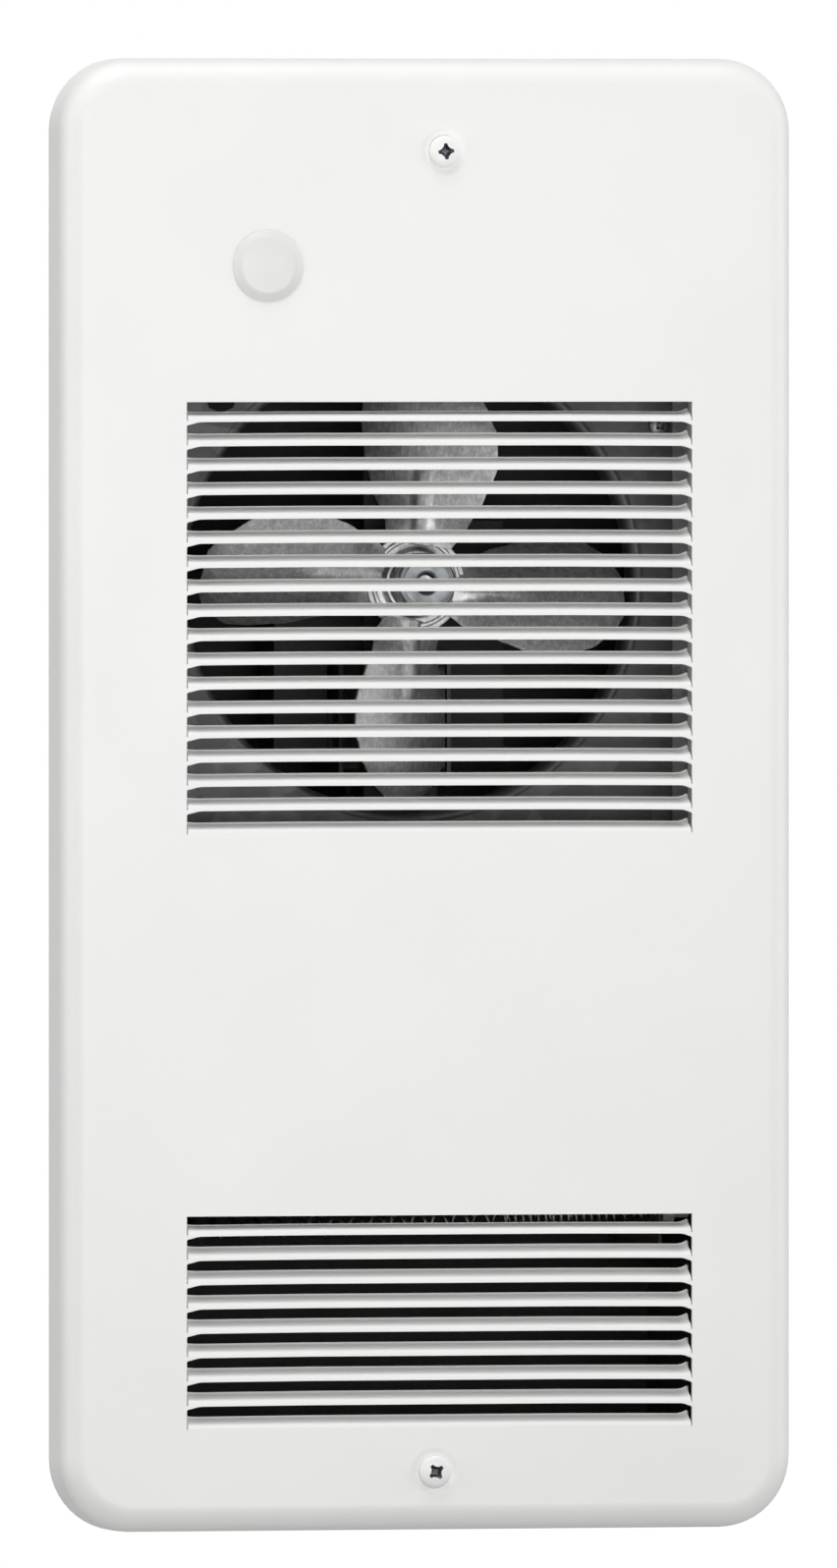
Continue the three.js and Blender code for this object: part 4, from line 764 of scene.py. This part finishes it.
def makeFan():
    front, rear = fan["plane"] - fan["sheet"] / 2, fan["plane"] + fan["sheet"] / 2
    raised, rise, bore, edge = fan["discRaised"], fan["discHeight"], fan["discBore"], fan["discRadius"]
    disc = turnPiece("fanDisc", [
        (bore, front - rise), (raised - 0.7, front - rise), (raised, front - rise + 0.2),
        (raised + 1.0, front - 0.4), (raised + 1.6, front), (14.1, front), (14.6, front - 0.6),
        (15.4, front - 0.6), (15.9, front), (edge - 0.3, front), (edge, front + 0.3),
        (edge, rear - 0.3), (edge - 0.3, rear), (15.9, rear), (15.4, rear - 0.6),
        (14.6, rear - 0.6), (14.1, rear), (raised + 1.2, rear), (raised + 0.6, rear - 0.4),
        (raised - 0.4, rear - rise + 0.2), (raised - 1.1, rear - rise), (bore, rear - rise),
        (bore, front - rise),
    ], fan["x"], fan["z"], 72)
    blades = gather("fanBladesVisual", [disc] + [makeBlade(index) for index in range(4)])
    shade(blades, 38)
    finishPiece(blades, fanAluminium, "fan_rotor", ["fan_blades"])

    low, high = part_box("fan_hub")
    y0, y1 = low.y / mm, high.y / mm
    seat, back, boss = front - rise - 0.3, rear - rise + 0.3, fan["boss"]
    hub = turnPiece("fanHubVisual", [
        (3.5, y0 + 0.7), (4.1, y0 + 0.15), (4.5, y0), (8.2, y0), (8.5, y0 + 0.25), (8.9, y0 + 0.25),
        (9.2, y0), (boss - 0.7, y0), (boss, y0 + 0.7), (boss, y0 + 4.2), (boss - 0.45, y0 + 4.5),
        (boss - 0.45, y0 + 5.3), (boss, y0 + 5.6), (boss, y0 + 9.2), (boss - 0.35, y0 + 9.5),
        (boss - 0.35, seat - 1.6), (boss, seat - 1.3), (boss, seat - 0.3), (boss - 0.3, seat), (5.5, seat),
        (5.5, back), (9.2, back), (9.5, back + 0.3), (9.5, back + 1.7), (9.2, back + 2), (6, back + 2),
        (6, y1 - 0.4), (5.6, y1), (3.5, y1), (3.5, y0 + 0.7),
    ], fan["x"], fan["z"], 80)
    shade(hub, 35)
    finishPiece(hub, hubZinc, "fan_rotor", ["fan_hub"])

    low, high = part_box("motor_shaft")
    y0, y1 = low.y / mm, high.y / mm
    radius = (high.x - low.x) / mm / 2
    shaft = turnPiece("motorShaftVisual", [
        (0, y0 + 1.1), (1.0, y0 + 0.9), (1.7, y0 + 0.1), (radius - 0.5, y0), (radius, y0 + 0.5),
        (radius, y1 - 0.5), (radius - 0.5, y1), (0, y1),
    ], fan["x"], fan["z"], 48)
    shade(shaft, 35)
    finishPiece(shaft, shaftSteel, "fan_rotor", ["motor_shaft"])


makeFan()
print("fan made")


# fan deck: the plate with the rolled orifice and the tray along its foot
deck = {
    "front": 24, "sheet": 1.2, "bottom": 114, "top": 466, "halfWidth": 94, "footTop": 143, "bend": 1.8,
    "shelfFront": -18, "lip": 8, "left": -99.2, "right": 107.6, "orifice": 79.3, "rear": 34,
    "screwX": 89.1, "screwZ": (381, 150), "ventX": -63, "ventZ": 391.5, "ventRadius": 6,
    "strapScrewZ": 97, "controlScrewX": 27, "limit": (50, 150), "limitHole": 9.3, "limitScrewX": 13,
    "elementScrewX": 60, "elementScrewZ": 121.5, "grommets": ((86, 137), (74, 456.5)), "grommetHole": 6,
    "orificeHem": 4.6,
}
smallHole = 2.2


def arcPoints(centre, radius, start, end, steps=5):
    # (y, z) points along an arc, with its angles in degrees from +Y towards +Z
    angles = [math.radians(start + (end - start) * i / steps) for i in range(steps + 1)]
    return [(centre[0] + radius * math.cos(a), centre[1] + radius * math.sin(a)) for a in angles]


def makeFanDeck():
    half = deck["sheet"] / 2
    lipY, shelfZ, wallY = deck["shelfFront"] + half, deck["bottom"] + half, deck["front"] + half
    bend = deck["bend"]
    side = [(lipY, deck["bottom"] + deck["lip"])]
    side += arcPoints((lipY + bend, shelfZ + bend), bend, 180, 270)
    side += arcPoints((wallY - bend, shelfZ + bend), bend, 270, 360)
    side += [(wallY, deck["top"])]
    plate = drawLine("fanDeckVisual", [(deck["left"], y, z) for y, z in side])
    bpy.ops.mesh.select_all(action="SELECT")
    extrudeEdges(dx=deck["right"] - deck["left"])
    bpy.ops.object.mode_set(mode="OBJECT")
    addModifier(plate, "SOLIDIFY", thickness=deck["sheet"] * mm, offset=0)
    cleanUp(plate)
    wall = (fan["x"] - deck["halfWidth"], fan["x"] + deck["halfWidth"])
    through = (deck["front"] - 3, deck["front"] + 5)
    upper = (deck["footTop"], deck["top"] + 5)
    cutAway(plate, startBox("sideCutter", (deck["left"] - 5, wall[0]), through, upper))
    cutAway(plate, startBox("sideCutter", (wall[1], deck["right"] + 5), through, upper))
    outer = deck["orifice"] + deck["orificeHem"]
    holes = [makeHoleCutter(fan["x"], fan["z"], outer - 0.8, *through, 120)]
    # pairs of screws: the middle of each pair, and the step from there to either screw
    limitX, limitZ = deck["limit"]
    pairs = [(fan["x"], z, deck["screwX"], 0) for z in deck["screwZ"]]
    pairs += [(fan["x"], fan["z"], 0, deck["strapScrewZ"]), (limitX, limitZ, deck["limitScrewX"], 0)]
    pairs += [(plug["x"], plug["z"], deck["controlScrewX"], 0)]
    pairs += [(0, deck["elementScrewZ"], deck["elementScrewX"], 0)]
    holes += [makeHoleCutter(x + side * dx, z + side * dz, smallHole, *through, 20)
              for x, z, dx, dz in pairs for side in (-1, 1)]
    holes += [makeHoleCutter(x, z, deck["grommetHole"], *through, 32) for x, z in deck["grommets"]]
    holes += [makeHoleCutter(limitX, limitZ, deck["limitHole"], *through, 40)]
    holes += [makeHoleCutter(deck["ventX"], deck["ventZ"], deck["ventRadius"], *through, 8)]
    cutAway(plate, *holes)
    front, rear, sheet, mouth = deck["front"], deck["rear"], deck["sheet"], deck["orifice"]
    bell = turnPiece("orificeLip", [
        (outer, front + sheet - 0.05), (outer, front + 0.05), (outer - 0.9, front - 0.35),
        (outer - 2.0, front - 0.5), (outer - 3.1, front - 0.1), (outer - 4.0, front + 0.9),
        (mouth + 0.15, front + 2.2), (mouth, front + 3.6), (mouth, rear), (mouth + sheet, rear),
        (mouth + sheet, front + 3.8), (mouth + sheet + 0.4, front + 2.6), (outer - 2.4, front + 1.2),
        (outer - 1.4, front + 0.8), (outer, front + sheet - 0.05),
    ], fan["x"], fan["z"], 120)
    joinOn(plate, bell)
    bevelEdges(plate, 0.18, 1, 60)
    shade(plate, 32)
    # the deck takes the darker galvanised copy, which paints its shade
    finishPiece(plate, shadedDeckZinc, "heater", ["fan_deck"])


makeFanDeck()
print("fan deck made")


# wall box
box = {
    "left": -100.8, "right": 109.2, "bottom": 28, "top": 468, "depth": 98, "sheet": 1.2, "bend": 2.2,
    "tabHalf": 16, "tabReach": 17, "tabRound": 3.5, "ledge": 19, "ledgeFront": 25.5,
    "ledgeZ": (145.6, 462), "knockout": 11.4, "knockoutY": 60, "openX": 70, "closedX": -60,
    "stud": 2.6, "studY": 22, "studZ": (70, 426), "cutDepth": 8, "ground": (-80, 60), "reliefHole": 4.4,
    # from the last depth on, the box's inner faces are painted black as shade
    "skin": 0.9, "paintedShadeFrom": 27.2,
}


def roundedTab(x, z, outwards):
    # a sheet tab with its two outer corners rounded
    r = box["tabRound"]
    low, high = z
    tip = high if outwards > 0 else low
    root = low if outwards > 0 else high
    arc = [math.radians(90 * i / 5) for i in range(6)]
    outline = [(x[0], root)]
    outline += [(x[0] + r - r * math.cos(a), tip - outwards * (r - r * math.sin(a))) for a in arc]
    outline += [(x[1] - r + r * math.sin(a), tip - outwards * (r - r * math.cos(a))) for a in arc]
    outline += [(x[1], root)]
    return platePiece("tab", outline, 0, box["sheet"])


def makeWallBox():
    width, height = (box["left"], box["right"]), (box["bottom"], box["top"])
    tray = startBox("wallBoxVisual", width, (0, box["depth"]), height)
    editPiece(tray, "EDGE")
    pick(tray, "EDGE", lambda edge, place: place.y > 1)
    bpy.ops.mesh.bevel(offset=box["bend"] * mm, segments=4, profile=0.5)
    pick(tray, "FACE", lambda face, place: abs(face.normal.y) > 0.99 and place.y < 1)
    bpy.ops.mesh.delete(type="FACE")
    bpy.ops.object.mode_set(mode="OBJECT")
    t = box["sheet"]
    addModifier(tray, "SOLIDIFY", thickness=t * mm, offset=-1, use_even_offset=True)
    tabX = (fan["x"] - box["tabHalf"], fan["x"] + box["tabHalf"])
    tabs = [
        roundedTab(tabX, (box["top"] - t / 2, box["top"] + box["tabReach"]), 1),
        roundedTab(tabX, (box["bottom"] - box["tabReach"], box["bottom"] + t / 2), -1),
    ]
    ledgeY = (box["ledgeFront"], box["ledgeFront"] + t)
    ledges = [
        startBox("ledge", (box["left"] + t / 2, box["left"] + t + box["ledge"]), ledgeY, box["ledgeZ"]),
        startBox("ledge", (box["right"] - t - box["ledge"], box["right"] - t / 2), ledgeY, box["ledgeZ"]),
    ]
    joinOn(tray, *tabs, *ledges)
    cutters = [makeHoleCutter(x, z, coverScrew["hole"], -2, 3, 24)
               for x, z, turn in coverScrew["places"].values()]
    near = (box["ledgeFront"] - 2, box["ledgeFront"] + 4)
    cutters += [makeHoleCutter(fan["x"] + side * deck["screwX"], z, smallHole, *near, 20)
                for z in deck["screwZ"] for side in (-1, 1)]
    # the left ledge is cut clear of the control's screw
    cutters += [makeHoleCutter(plug["x"] - deck["controlScrewX"], plug["z"], box["reliefHole"], *near, 24)]
    cutters += [makeHoleCutter(*box["ground"], smallHole, box["depth"] - 4, box["depth"] + 2, 20)]
    cutters += [makeRoundCutter(x, box["knockoutY"], z, box["knockout"], box["cutDepth"], 48)
                for x, z in ((box["openX"], box["top"]), (box["closedX"], box["bottom"]))]
    cutters += [makeRoundCutter(x, box["studY"], z, box["stud"], box["cutDepth"], 24, (0, math.pi / 2, 0))
                for z in box["studZ"] for x in width]
    cutAway(tray, *cutters)
    bevelEdges(tray, 0.2, 1, 60)
    shade(tray, 30)
    # the inner faces behind the deck take the black of painted shade; the rest keep the galvanised sheet
    tray.data.materials.append(galvanised)
    tray.data.materials.append(paintedShadeBlack)
    for face in tray.data.polygons:
        x, y, z = (value / mm for value in face.center)
        z -= bottomZ
        inPaintedShade = box["paintedShadeFrom"] < y < box["depth"] - box["skin"]
        within = width[0] + box["skin"] < x < width[1] - box["skin"]
        within = within and height[0] + box["skin"] < z < height[1] - box["skin"]
        face.material_index = 1 if inPaintedShade and within else 0
    finishPiece(tray, None, "heater", ["wall_box"])


makeWallBox()
print("wall box made")


# small sheet-metal screws
smallScrews = {
    "headHeight": 2.2,
    # the turn of each one's recess, in degrees
    "turns": {
        "deck_screw_upper_left": 12, "deck_screw_upper_right": 38, "deck_screw_lower_left": 66,
        "deck_screw_lower_right": 5, "strap_screw_lower": 20, "strap_screw_upper": 71,
        "thermostat_screw_left": 33, "thermostat_screw_right": 80, "limit_screw_left": 15,
        "limit_screw_right": 50, "element_screw_left": 25, "element_screw_right": 60,
    },
}


def visualName(node):
    return "".join(word.capitalize() for word in node.split("_"))


def makeSmallScrew(node, turn):
    # a pan head with a cross recess and a coarse thread, fitted to its packed outline
    low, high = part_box(node)
    x, z = (low.x + high.x) / 2 / mm, (low.z + high.z) / 2 / mm - bottomZ
    r, crown, tip = (high.x - low.x) / 2 / mm, low.y / mm, high.y / mm
    under = crown + smallScrews["headHeight"]
    head = [(0, crown), (r * 0.45, crown + 0.08), (r * 0.8, crown + 0.42), (r * 0.97, crown + 1.0),
            (r, crown + 1.4), (r, under - 0.15), (r - 0.15, under)]
    shank = [(1.75, under)]
    y = under + 0.5
    while y < tip - 1.1:
        shank += [(1.45, y), (1.85, y + 0.35)]
        y += thread
    shank += [(1.35, max(tip - 0.7, y)), (0, tip)] if tip - y > 0.3 else [(1.45, tip), (0, tip)]
    body = turnPiece(visualName(node), [*head, *shank], x, z, 32)
    cutAway(body, makeCrossCutter(x, z, crown, turn, min(0.72, r / 5.6)))
    shade(body, 38)
    # the small screws take the darker zinc copy, which paints their shade
    finishPiece(body, shadedScrewZinc, "heater", [node])


for name, turn in smallScrews["turns"].items():
    makeSmallScrew(name, turn)
print("small screws made")


# heating coil: thin resistance wire wound round and stretched unevenly from board to board
coil = {
    "radius": 3.1, "wire": 0.42, "firstY": 36, "runPitch": 14, "runs": 4, "midZ": 104.5, "slope": 0.04,
    "left": -87.6, "right": 96, "loosePitch": 7.4, "tightPitch": 2.7, "tightFrom": 34, "tightTo": 90,
    "tightEase": 12, "turnSteps": 14, "phase": -2.96, "joinSteps": 20, "joinTurns": 4, "joinShare": 0.8,
}


def tubeAlong(name, points, radius, roundness):
    # a round wire through points, with both ends closed
    path = bpy.data.curves.new(name, "CURVE")
    path.dimensions = "3D"
    line = path.splines.new("POLY")
    line.points.add(len(points) - 1)
    for knot, point in zip(line.points, points):
        knot.co = (*at(*point), 1)
    path.bevel_depth = radius * mm
    path.bevel_resolution = roundness
    path.use_fill_caps = True
    wire = addObject(name, path)
    makeActive(wire)
    bpy.ops.object.convert(target="MESH")
    wire.data.name = name
    cleanUp(wire, 0.001)
    return wire


def coilRun(run):
    # one run's helix, left to right
    points = []
    x, y, angle = coil["left"], coil["firstY"] + run * coil["runPitch"], coil["phase"] * run
    while x < coil["right"]:
        pitch = coil["loosePitch"]
        if run == 0:
            # only the front run has its turns pushed together towards the right
            tight = smoothStep((x - coil["tightFrom"]) / coil["tightEase"])
            tight *= smoothStep((coil["tightTo"] - x) / coil["tightEase"])
            pitch += (coil["tightPitch"] - coil["loosePitch"]) * tight
        middle = coil["midZ"] + coil["slope"] * (x - fan["x"])
        points.append((x, y + coil["radius"] * math.cos(angle), middle + coil["radius"] * math.sin(angle)))
        x += pitch / coil["turnSteps"]
        angle += 2 * math.pi / coil["turnSteps"]
    return points


def makeCoil():
    path = []
    for run in range(coil["runs"]):
        points = coilRun(run)
        path += points if run % 2 else points[::-1]
        if run < coil["runs"] - 1:
            # a half turn outside the board joins this run to the next
            side = 1 if run % 2 else -1
            end = coil["right"] if side > 0 else coil["left"]
            middle = coil["midZ"] + coil["slope"] * (end - fan["x"])
            centre, reach = coil["firstY"] + (run + 0.5) * coil["runPitch"], coil["runPitch"] / 2
            small = coil["radius"] * coil["joinShare"]
            for step in range(1, coil["joinSteps"]):
                along = math.pi * step / coil["joinSteps"]
                wind = 2 * along * coil["joinTurns"]
                r = reach - small * math.cos(wind) * math.sin(along)
                path.append((end + side * r * math.sin(along), centre - r * math.cos(along),
                             middle + small * math.sin(wind)))
    wire = tubeAlong("heatingCoilVisual", path, coil["wire"], 1)
    shade(wire, 60, False)
    finishPiece(wire, nichrome, "heater", ["heating_coil"])


makeCoil()
print("heating coil made")


# insulated leads
leads = {
    "lead_supply_to_thermostat": (
        (39.3, 16, 437), (33, 16, 438), (20, 13, 448), (0, 12, 456), (-28, 9, 460.5), (-45, 8, 460),
        (-50.5, 8, 457), (-50.5, 8, 452)),
    "lead_thermostat_to_limit": (
        (-62, 8, 421), (-62, 8, 416), (-68, 8, 410), (-84, 9, 404), (-93, 10, 393), (-94.5, 12, 370),
        (-94.5, 12, 300), (-94.5, 12, 200), (-89, 13, 178), (-70, 14, 168), (0, 14, 160), (30, 13, 154),
        (38, 11, 150.5), (42.5, 11, 150.5)),
    "lead_limit_to_element": (
        (57.5, 11, 150.5), (62, 11, 150.3), (69, 11, 142), (78, 11, 134), (86, 13, 134), (87.9, 18, 136.5),
        (88, 23, 137), (88, 29, 137), (90.5, 34, 136.8), (97, 36, 134), (102.6, 36, 127), (103.8, 36, 119),
        (103.8, 36, 111.2)),
    "lead_supply_to_element": (
        (84.7, 16, 437), (91, 16, 436), (99, 14, 427), (102, 12, 410), (102, 12, 300), (102, 12, 185),
        (98, 11, 166), (87, 10, 150), (84, 14, 141), (84, 20, 137.2), (84, 29, 137), (85, 46, 137),
        (92, 66, 136), (99, 77, 131), (103.4, 79, 124), (103.8, 78, 118), (103.8, 78, 111.2)),
    "lead_motor_to_limit": (
        (14, 58, 257.6), (14, 58, 250), (16, 56, 200), (40, 54, 160), (80, 50, 148), (97, 46, 142),
        (103.6, 46, 132), (103.8, 46, 118), (103.8, 45, 111), (103.8, 42, 108.5), (103.8, 38.9, 108.5)),
    "lead_motor_to_supply": (
        (-6, 70, 257.6), (-6, 70, 250), (-2, 70, 200), (30, 70, 170), (76, 69, 156), (97, 68, 148),
        (103.4, 68, 138), (103.8, 68, 118), (103.8, 69, 111), (103.8, 72, 108.5), (103.8, 75.1, 108.5)),
}


def smoothPath(points, steps=8):
    # a rounded line through the points
    ends = [Vector(points[0]), *map(Vector, points), Vector(points[-1])]
    line = []
    for a, b, c, d in zip(ends, ends[1:], ends[2:], ends[3:]):
        for step in range(steps):
            t = step / steps
            line.append(0.5 * (2 * b + (c - a) * t + (2 * a - 5 * b + 4 * c - d) * t * t
                               + (3 * b - a - 3 * c + d) * t * t * t))
    return line + [ends[-1]]


leadRadius = 1.5
leadColours = {"lead_limit_to_element": leadRed, "lead_supply_to_element": leadWhite}   # the rest are black
for name, points in leads.items():
    sleeve = tubeAlong(visualName(name), smoothPath(points), leadRadius, 5)
    shade(sleeve, 50, False)
    finishPiece(sleeve, leadColours.get(name, leadBlack), "heater", [name])
print("leads made")


# carried-over pieces and their finishes
nodeFinishes = {
    galvanised: ["knockout_slug"],
    # the element frame's near-black sheet is painted shade
    shadedFrameZinc: ["element_frame"],
    # the motor's black is painted shade
    motorShadeBlack: ["motor_strap", "motor_core", "motor_coil_core"],
    zincPlate: ["cable_clamp", "cable_clamp_screw", "motor_front_bracket", "motor_rear_bracket",
                "motor_spacer_left", "motor_spacer_right", "motor_screw_left", "motor_screw_right",
                "thermostat_bracket", "thermostat_nut"],
    greenZinc: ["ground_screw"],
    shaftSteel: ["thermostat_spindle"],
    laminations: ["motor_rotor"],
    # the winding's near-black colour is partly painted shade
    shadedCopperTurns: ["motor_winding"],
    bronze: ["front_bearing", "rear_bearing"],
    # the mica boards' dark brown is painted shade
    shadedMicaBoard: ["mica_board_left", "mica_board_right"],
    porcelain: ["element_terminal_front", "element_terminal_rear"],
    phenolic: ["thermostat_body", "limit_switch"],
    nylonBlack: ["motor_bobbin", "terminal_block"],
    buttonRed: ["limit_button"],
    rubberBlack: ["lead_grommet", "supply_grommet"],
}
for material, names in nodeFinishes.items():
    for name in names:
        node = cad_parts[name]
        node.data.materials.clear()
        node.data.materials.append(material)
print("carried-over pieces finished")


# camera, floor and light
# from further off than about 13.9 m the lens grows so long that views from other sides lose the heater
view = {
    "azimuth": -14, "elevation": 0.84, "distance": 13000, "lookX": 1.38, "lookZ": 257.64, "field": 541.1,
    "sensor": 36, "clip": (1, 120),   # the clip is in metres
}


def placeCamera():
    angle = math.radians(view["azimuth"])
    right = Vector((math.cos(angle), math.sin(angle), 0))
    level = Vector((math.sin(angle), -math.cos(angle), 0))
    rise = math.radians(view["elevation"])
    away = level * math.cos(rise) + Vector((0, 0, math.sin(rise)))
    target = at(0, 0, view["lookZ"]) + right * view["lookX"] * mm + level * (-frontY) * mm
    camera = bpy.data.cameras.new("camera")
    camera.sensor_width = view["sensor"]
    camera.lens = view["sensor"] * view["distance"] / view["field"]
    camera.clip_start, camera.clip_end = view["clip"]
    holder = addObject("camera", camera)
    holder.location = target + away * view["distance"] * mm
    holder.rotation_euler = (-away).to_track_quat("-Z", "Y").to_euler()
    bpy.context.scene.camera = holder


# in metres and watts
lamps = {
    "overhead": {"place": (-0.3, -0.55, 2.1), "aim": (0, 0, 0.3), "size": 1.4, "power": 21},
    "front": {"place": (-0.03, -1.3, 0.24), "aim": (0, 0, 1.05), "size": 0.7, "power": 8.6},
    "leftSide": {"place": (-2.2, -0.5, 0.5), "aim": (0, 0, 0.25), "size": 1.2, "power": 12.5},
    "rightSide": {"place": (2.0, -0.5, 0.5), "aim": (0, 0, 0.25), "size": 1.2, "power": 12.5},
}


def placeLamp(name, style):
    lamp = bpy.data.lights.new(name, "AREA")
    lamp.shape = "SQUARE"
    lamp.size = style["size"]
    lamp.energy = style["power"]
    holder = addObject(name, lamp)
    holder.location = style["place"]
    towards = Vector(style["aim"]) - Vector(style["place"])
    holder.rotation_euler = towards.to_track_quat("-Z", "Y").to_euler()


def seenDirectly(tree):
    # 1 for the camera, reflections and what shows through glass, 0 for the light that the room gives
    path = addNode(tree, "ShaderNodeLightPath")
    either = addNode(
        tree, "ShaderNodeMath", {0: path.outputs["Is Camera Ray"], 1: path.outputs["Is Glossy Ray"]},
        operation="MAXIMUM")
    return addNode(
        tree, "ShaderNodeMath", {0: either.outputs["Value"], 1: path.outputs["Is Transmission Ray"]},
        operation="MAXIMUM").outputs["Value"]


def makeWorld(ambient):
    world = bpy.data.worlds.new("whiteRoom")
    bpy.context.scene.world = world
    world.use_nodes = True
    tree = world.node_tree
    tree.nodes.clear()
    strength = addNode(
        tree, "ShaderNodeMapRange", {"Value": seenDirectly(tree), "To Min": ambient, "To Max": 1.0})
    light = addNode(
        tree, "ShaderNodeBackground", {"Color": (1, 1, 1, 1), "Strength": strength.outputs["Result"]})
    addNode(tree, "ShaderNodeOutputWorld", {"Surface": light.outputs["Background"]})


floorDisc = {"radius": 8.5, "height": -1.5}   # metres


def makeFloor():
    # a pale floor well below the hung heater, wide enough that its edge stays out of sight
    floor = startPiece(
        "floor", bpy.ops.mesh.primitive_circle_add, vertices=96, radius=floorDisc["radius"],
        fill_type="NGON", location=(0, 0, floorDisc["height"]),
    )
    applyPlace(floor)
    material, tree, shader, grain = newMaterial("paleFloor", [(120, 2, 0.5)], Roughness=0.7)
    tone = addNode(tree, "ShaderNodeValToRGB", {"Fac": grain}, ((0.3, "#f3f3f2"), (0.7, "#f0f0ef")))
    tree.links.new(tone.outputs["Color"], shader.inputs["Base Color"])
    glow = addNode(tree, "ShaderNodeEmission", {"Color": (1, 1, 1, 1), "Strength": 1.0})
    share = addNode(tree, "ShaderNodeMath", {0: seenDirectly(tree), 1: 0.5}, operation="MULTIPLY")
    mix = addNode(
        tree, "ShaderNodeMixShader",
        {0: share.outputs["Value"], 1: shader.outputs["BSDF"], 2: glow.outputs["Emission"]})
    output = next(node for node in tree.nodes if node.type == "OUTPUT_MATERIAL")
    tree.links.new(mix.outputs["Shader"], output.inputs["Surface"])
    floor.data.materials.append(material)


placeCamera()
for name, style in lamps.items():
    placeLamp(name, style)
makeWorld(0.2)
makeFloor()
bpy.context.scene.view_settings.view_transform = "Standard"
print("camera, floor and light placed")
